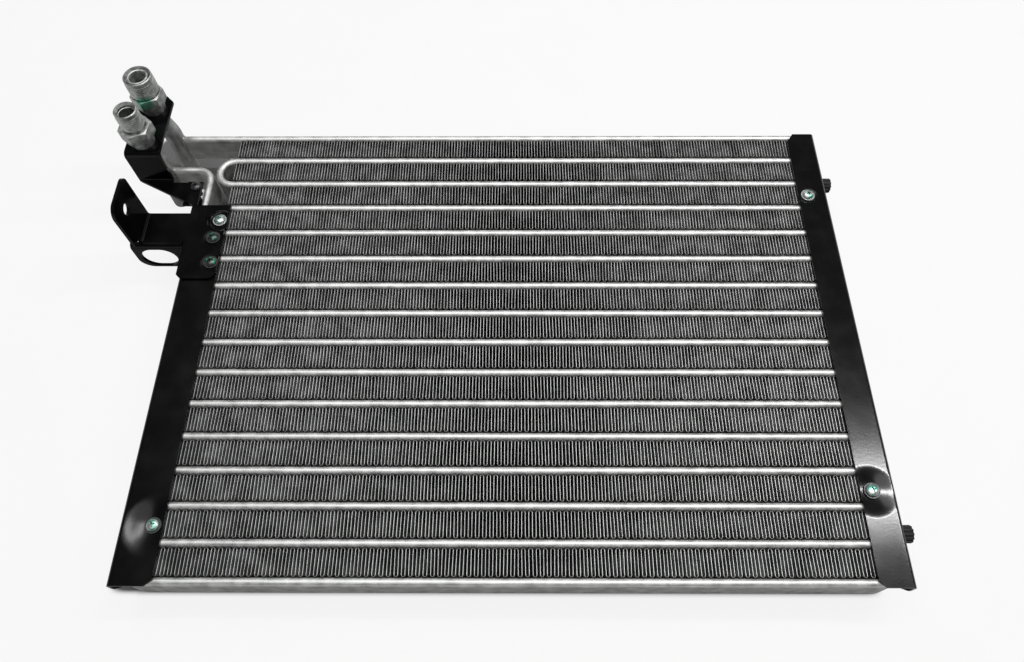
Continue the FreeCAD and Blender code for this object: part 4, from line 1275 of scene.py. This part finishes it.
@dataclass
class Channels:
    """The two painted side channels and the painted brackets, with their dents."""

    left_dent: float = 19.0 * MM
    left_depth: float = 2.3 * MM
    right_dent: float = 16.0 * MM
    right_depth: float = 1.8 * MM
    small_dent: float = 8.0 * MM
    small_depth: float = 0.8 * MM
    plate_depth: float = 0.5 * MM
    stamp_radius: float = 7.5 * MM
    stamp_depth: float = 0.5 * MM
    right_sheen: float = 0.42
    right_smooth: float = 0.14
    bracket_sheen: float = 0.15

    def dress(self) -> None:
        """Paints the channels and brackets."""
        left = BakedPaint("stoved_black_paint_left", (
            Dent(spot(*LEFT_SCREW), self.left_dent, self.left_depth),))
        right = BakedPaint("stoved_black_paint_right", (
            Dent(spot(*RIGHT_FRONT_SCREW), self.right_dent, self.right_depth),
            Dent(spot(*RIGHT_BACK_SCREW), self.small_dent, self.small_depth)),
            sheen=self.right_sheen, smooth=self.right_smooth)
        bracket = BakedPaint("stoved_black_paint_brackets", (
            Dent(spot(*PLATE_SCREWS[0]), self.stamp_radius, self.stamp_depth, stamped=True),
            Dent(spot(*PLATE_SCREWS[1]), self.small_dent, self.plate_depth),
            Dent(spot(*PLATE_SCREWS[2]), self.small_dent, self.plate_depth)), sheen=self.bracket_sheen)
        paint_node("left_channel", left.material())
        paint_node("right_channel", right.material())
        shared = bracket.material()
        paint_node("mount_bracket", shared)
        paint_node("fitting_bracket", shared)


def paint_node(node: str, material: bpy.types.Material) -> None:
    """Gives a CAD node its finished material.

    Args:
        node: name of the CAD node.
        material: the finished material.
    """
    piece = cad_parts[node]
    if not piece.material_slots:
        piece.data.materials.append(material)
    for holder in piece.material_slots:
        holder.material = material
    LOG.info("%s: painted as %s", node, material.name)


@dataclass
class Bushes:
    """Grooved rubber bushes over the locating pins."""

    ridge_radius: float = 5.1 * MM
    names: tuple[str, ...] = ("back_pin_bush", "front_pin_bush")

    def dress(self) -> None:
        """Gives each bush its rubber, centred on its own axis."""
        for name in self.names:
            low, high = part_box(name)
            rubber = BushRubber(f"moulded_rubber_{name}", axis=(low + high) / 2,
                                ridge_radius=self.ridge_radius)
            paint_node(name, rubber.material())


@dataclass(frozen=True)
class SoftBox:
    """One rectangular lamp, in metres and watts.

    Its tilt is in degrees from facing straight down, below zero where it faces forwards.
    """

    name: str
    place: Vector
    size: tuple[float, float]
    power: float
    tilt: float = 0.0

    def hang(self) -> None:
        """Hangs the lamp."""
        lamp = bpy.data.lights.new(self.name, "AREA")
        lamp.shape = "RECTANGLE"
        lamp.size, lamp.size_y = self.size
        lamp.energy = self.power
        holder = bpy.data.objects.new(self.name, lamp)
        bpy.context.scene.collection.objects.link(holder)
        holder.location = self.place
        holder.rotation_euler.x = math.radians(self.tilt)


@dataclass
class Studio:
    """Pale round board whose rim turns up as the backdrop, soft lamps and the photograph's camera.

    The board's sizes are in metres, the shaded rectangles and the camera's eye in millimetres from the tube's
    corner, the camera's turns in degrees, and its focal length and picture width in the photograph's pixels.
    """

    board_radius: float = 4.5
    board_drop: float = 0.05 * MM
    board_segments: int = 96
    rim_rise: float = 1.7
    rim_bend: float = 0.8
    rim_segments: int = 8
    room_strength: float = 0.1
    focal_pixels: float = 791.0
    picture_pixels: float = 1024.0
    sensor_mm: float = 36.0
    clip_start: float = 0.01
    pitch: float = 61.7375
    yaw: float = -0.7292
    roll: float = -0.6193
    core_shade: tuple[tuple[float, float], ...] = ((8.0, 1.0), (461.0, 330.0))
    header_shade: tuple[tuple[float, float], ...] = ((-34.0, 313.0), (28.0, 350.0))
    eye: tuple[float, float, float] = (247.738, -80.669, 463.833)

    def build_board(self) -> None:
        """Lays the board under the condenser and turns its rim up all round as the backdrop."""
        rest()
        floor_z = CAD_BOX[0].z - self.board_drop
        bpy.ops.mesh.primitive_circle_add(vertices=self.board_segments, radius=self.board_radius,
                                          fill_type="NGON", location=(0, 0, floor_z))
        board = bpy.context.object
        board.name = board.data.name = "studio_board"
        settle(board)
        bpy.ops.object.mode_set(mode="EDIT")
        bpy.ops.mesh.select_mode(type="EDGE")
        bpy.ops.mesh.select_all(action="SELECT")
        bpy.ops.mesh.region_to_loop()
        bpy.ops.mesh.extrude_region_move(TRANSFORM_OT_translate={"value": (0, 0, self.rim_rise)})
        pick_vertices(board, lambda place: place.z < floor_z + self.rim_rise / 2)
        bpy.ops.mesh.bevel(offset=self.rim_bend, segments=self.rim_segments, affect="EDGES")
        bpy.ops.object.mode_set(mode="OBJECT")
        under_core = (spot(*self.core_shade[0]), spot(*self.core_shade[1]))
        under_headers = (spot(*self.header_shade[0]), spot(*self.header_shade[1]))
        board.data.materials.append(PaleSweep((under_core, under_headers)).material())
        LOG.info("%s: laid as the stage", board.name)

    def build_light(self) -> None:
        """Hangs the lamps and sets a dim, even room."""
        lamps = (
            SoftBox("overhead_soft_box", Vector((-0.02, 0.0, 1.4)), size=(1.24, 1.9), power=15.7),
            SoftBox("back_soft_box", Vector((0.0, 1.7, 0.8)), size=(1.3, 1.1), power=2.6, tilt=-64.8),
            # The strip shows in the right channel's flat, the small box in the slope of the left dent
            SoftBox("right_strip_box", Vector((0.77, 0.24, 1.2)), size=(1.0, 0.08), power=14.5),
            SoftBox("left_small_box", spot(-147.0, 500.0, 1376.0), size=(0.2, 0.5), power=5.0))
        for lamp in lamps:
            lamp.hang()
        world = bpy.data.worlds.new("dim_room")
        bpy.context.scene.world = world
        world.use_nodes = True
        tree = world.node_tree
        tree.nodes.clear()
        room = add_node(tree, "Background", {"Color": linear("#ffffff"), "Strength": self.room_strength})
        add_node(tree, "OutputWorld", {"Surface": room.outputs[0]})

    def build_camera(self) -> None:
        """Stands the camera where the photograph was taken from."""
        pitch, yaw, roll = (math.radians(angle) for angle in (self.pitch, self.yaw, self.roll))
        ahead = Vector((math.sin(yaw) * math.cos(pitch), math.cos(yaw) * math.cos(pitch), -math.sin(pitch)))
        level = Vector((math.cos(yaw), -math.sin(yaw), 0))
        upright = level.cross(ahead)
        right = math.cos(roll) * level + math.sin(roll) * upright
        up = -math.sin(roll) * level + math.cos(roll) * upright
        lens = bpy.data.cameras.new("photograph_view")
        lens.sensor_width = self.sensor_mm
        lens.lens = self.focal_pixels / self.picture_pixels * self.sensor_mm
        lens.clip_start = self.clip_start
        camera = bpy.data.objects.new("photograph_view", lens)
        bpy.context.scene.collection.objects.link(camera)
        turned = Matrix((right, up, -ahead)).transposed().to_4x4()
        camera.matrix_world = Matrix.Translation(spot(*self.eye)) @ turned
        bpy.context.scene.camera = camera

    def build(self) -> None:
        """Builds the board, the light and the camera."""
        self.build_board()
        self.build_light()
        self.build_camera()
        bpy.context.scene.view_settings.view_transform = "Standard"


@dataclass
class Condenser:
    """The whole condenser, sub-assembly by sub-assembly, with its screws' sizes in millimetres."""

    long_shank: float = 25.5
    bracket_shank: float = 27.5
    short_shank: float = 9.0
    channel_seat: float = 24.3
    bracket_seat: float = 26.3
    foot_seat: float = 25.5

    def dress_metal(self) -> None:
        """Gives the carried-over metal nodes their finishes."""
        paint_node("serpentine_tube", ExtrudedAluminium().material())
        pipe = DrawnPipe().material()
        for name in ("inlet_header", "outlet_header", "inlet_header_cap", "outlet_header_cap"):
            paint_node(name, pipe)

    def build_fasteners(self) -> None:
        """Builds the screws and dresses the washers, nuts and pins."""
        zinc = ZincPlate().material()
        for name in ("clinch_nuts", "back_locating_pin", "front_locating_pin"):
            paint_node(name, zinc)
        rubbed = (spot(*RIGHT_BACK_SCREW), spot(*PLATE_SCREWS[0]))
        washer = BlackedSteel("phosphated_black_washer", bare_spots=rubbed).material()
        for name in ("channel_washers", "bracket_washers"):
            paint_node(name, washer)
        dyed = BlackedSteel("phosphated_black_screw_dyed", dye="#17624a", smooth=0.22).material()
        blacked = BlackedSteel("phosphated_black_screw", smooth=0.25).material()
        PanScrews("channel_screws", tuple(
            ScrewPlace(*place, self.channel_seat, self.long_shank)
            for place in (LEFT_SCREW, RIGHT_BACK_SCREW, RIGHT_FRONT_SCREW))).build(zinc)
        PanScrews("bracket_long_screw", (
            ScrewPlace(*PLATE_SCREWS[0], self.bracket_seat, self.bracket_shank),)).build(zinc)
        PanScrews("bracket_short_screws", tuple(
            ScrewPlace(*place, self.bracket_seat, self.short_shank)
            for place in PLATE_SCREWS[1:])).build(dyed)
        PanScrews("foot_screw", (
            ScrewPlace(*FOOT_SCREW, self.foot_seat, self.short_shank),)).build(blacked)

    def build_ports(self) -> None:
        """Builds both port fittings and the beads at the headers."""
        PortFitting("inlet_fitting", nose_radius=9.65, bore_radius=5.3, mouth=Mouth.RAISED_LIP,
                    dye_turn=275.0, dye_height=14.0, dye_radius=6.0).build()
        PortFitting("outlet_fitting", nose_radius=7.8, bore_radius=5.2, mouth=Mouth.PLAIN_CONE,
                    dye_turn=240.0, dye_height=6.0, dye_radius=3.0).build()
        filler = BrazeMetal().material()
        BrazeBead("inlet_header_bead", header_x=-2.5, header_y=317.5, tube_y=317.5).build(filler)
        BrazeBead("outlet_header_bead", header_x=-3.5, header_y=287.2, tube_y=288.4).build(filler)

    def build(self) -> None:
        """Builds and dresses everything in order."""
        self.dress_metal()
        Channels().dress()
        Bushes().dress()
        self.build_ports()
        self.build_fasteners()
        FinBank().build()


def main() -> None:
    """Builds the condenser in its studio."""
    Condenser().build()
    Studio().build()


if __name__ == "__main__":
    main()
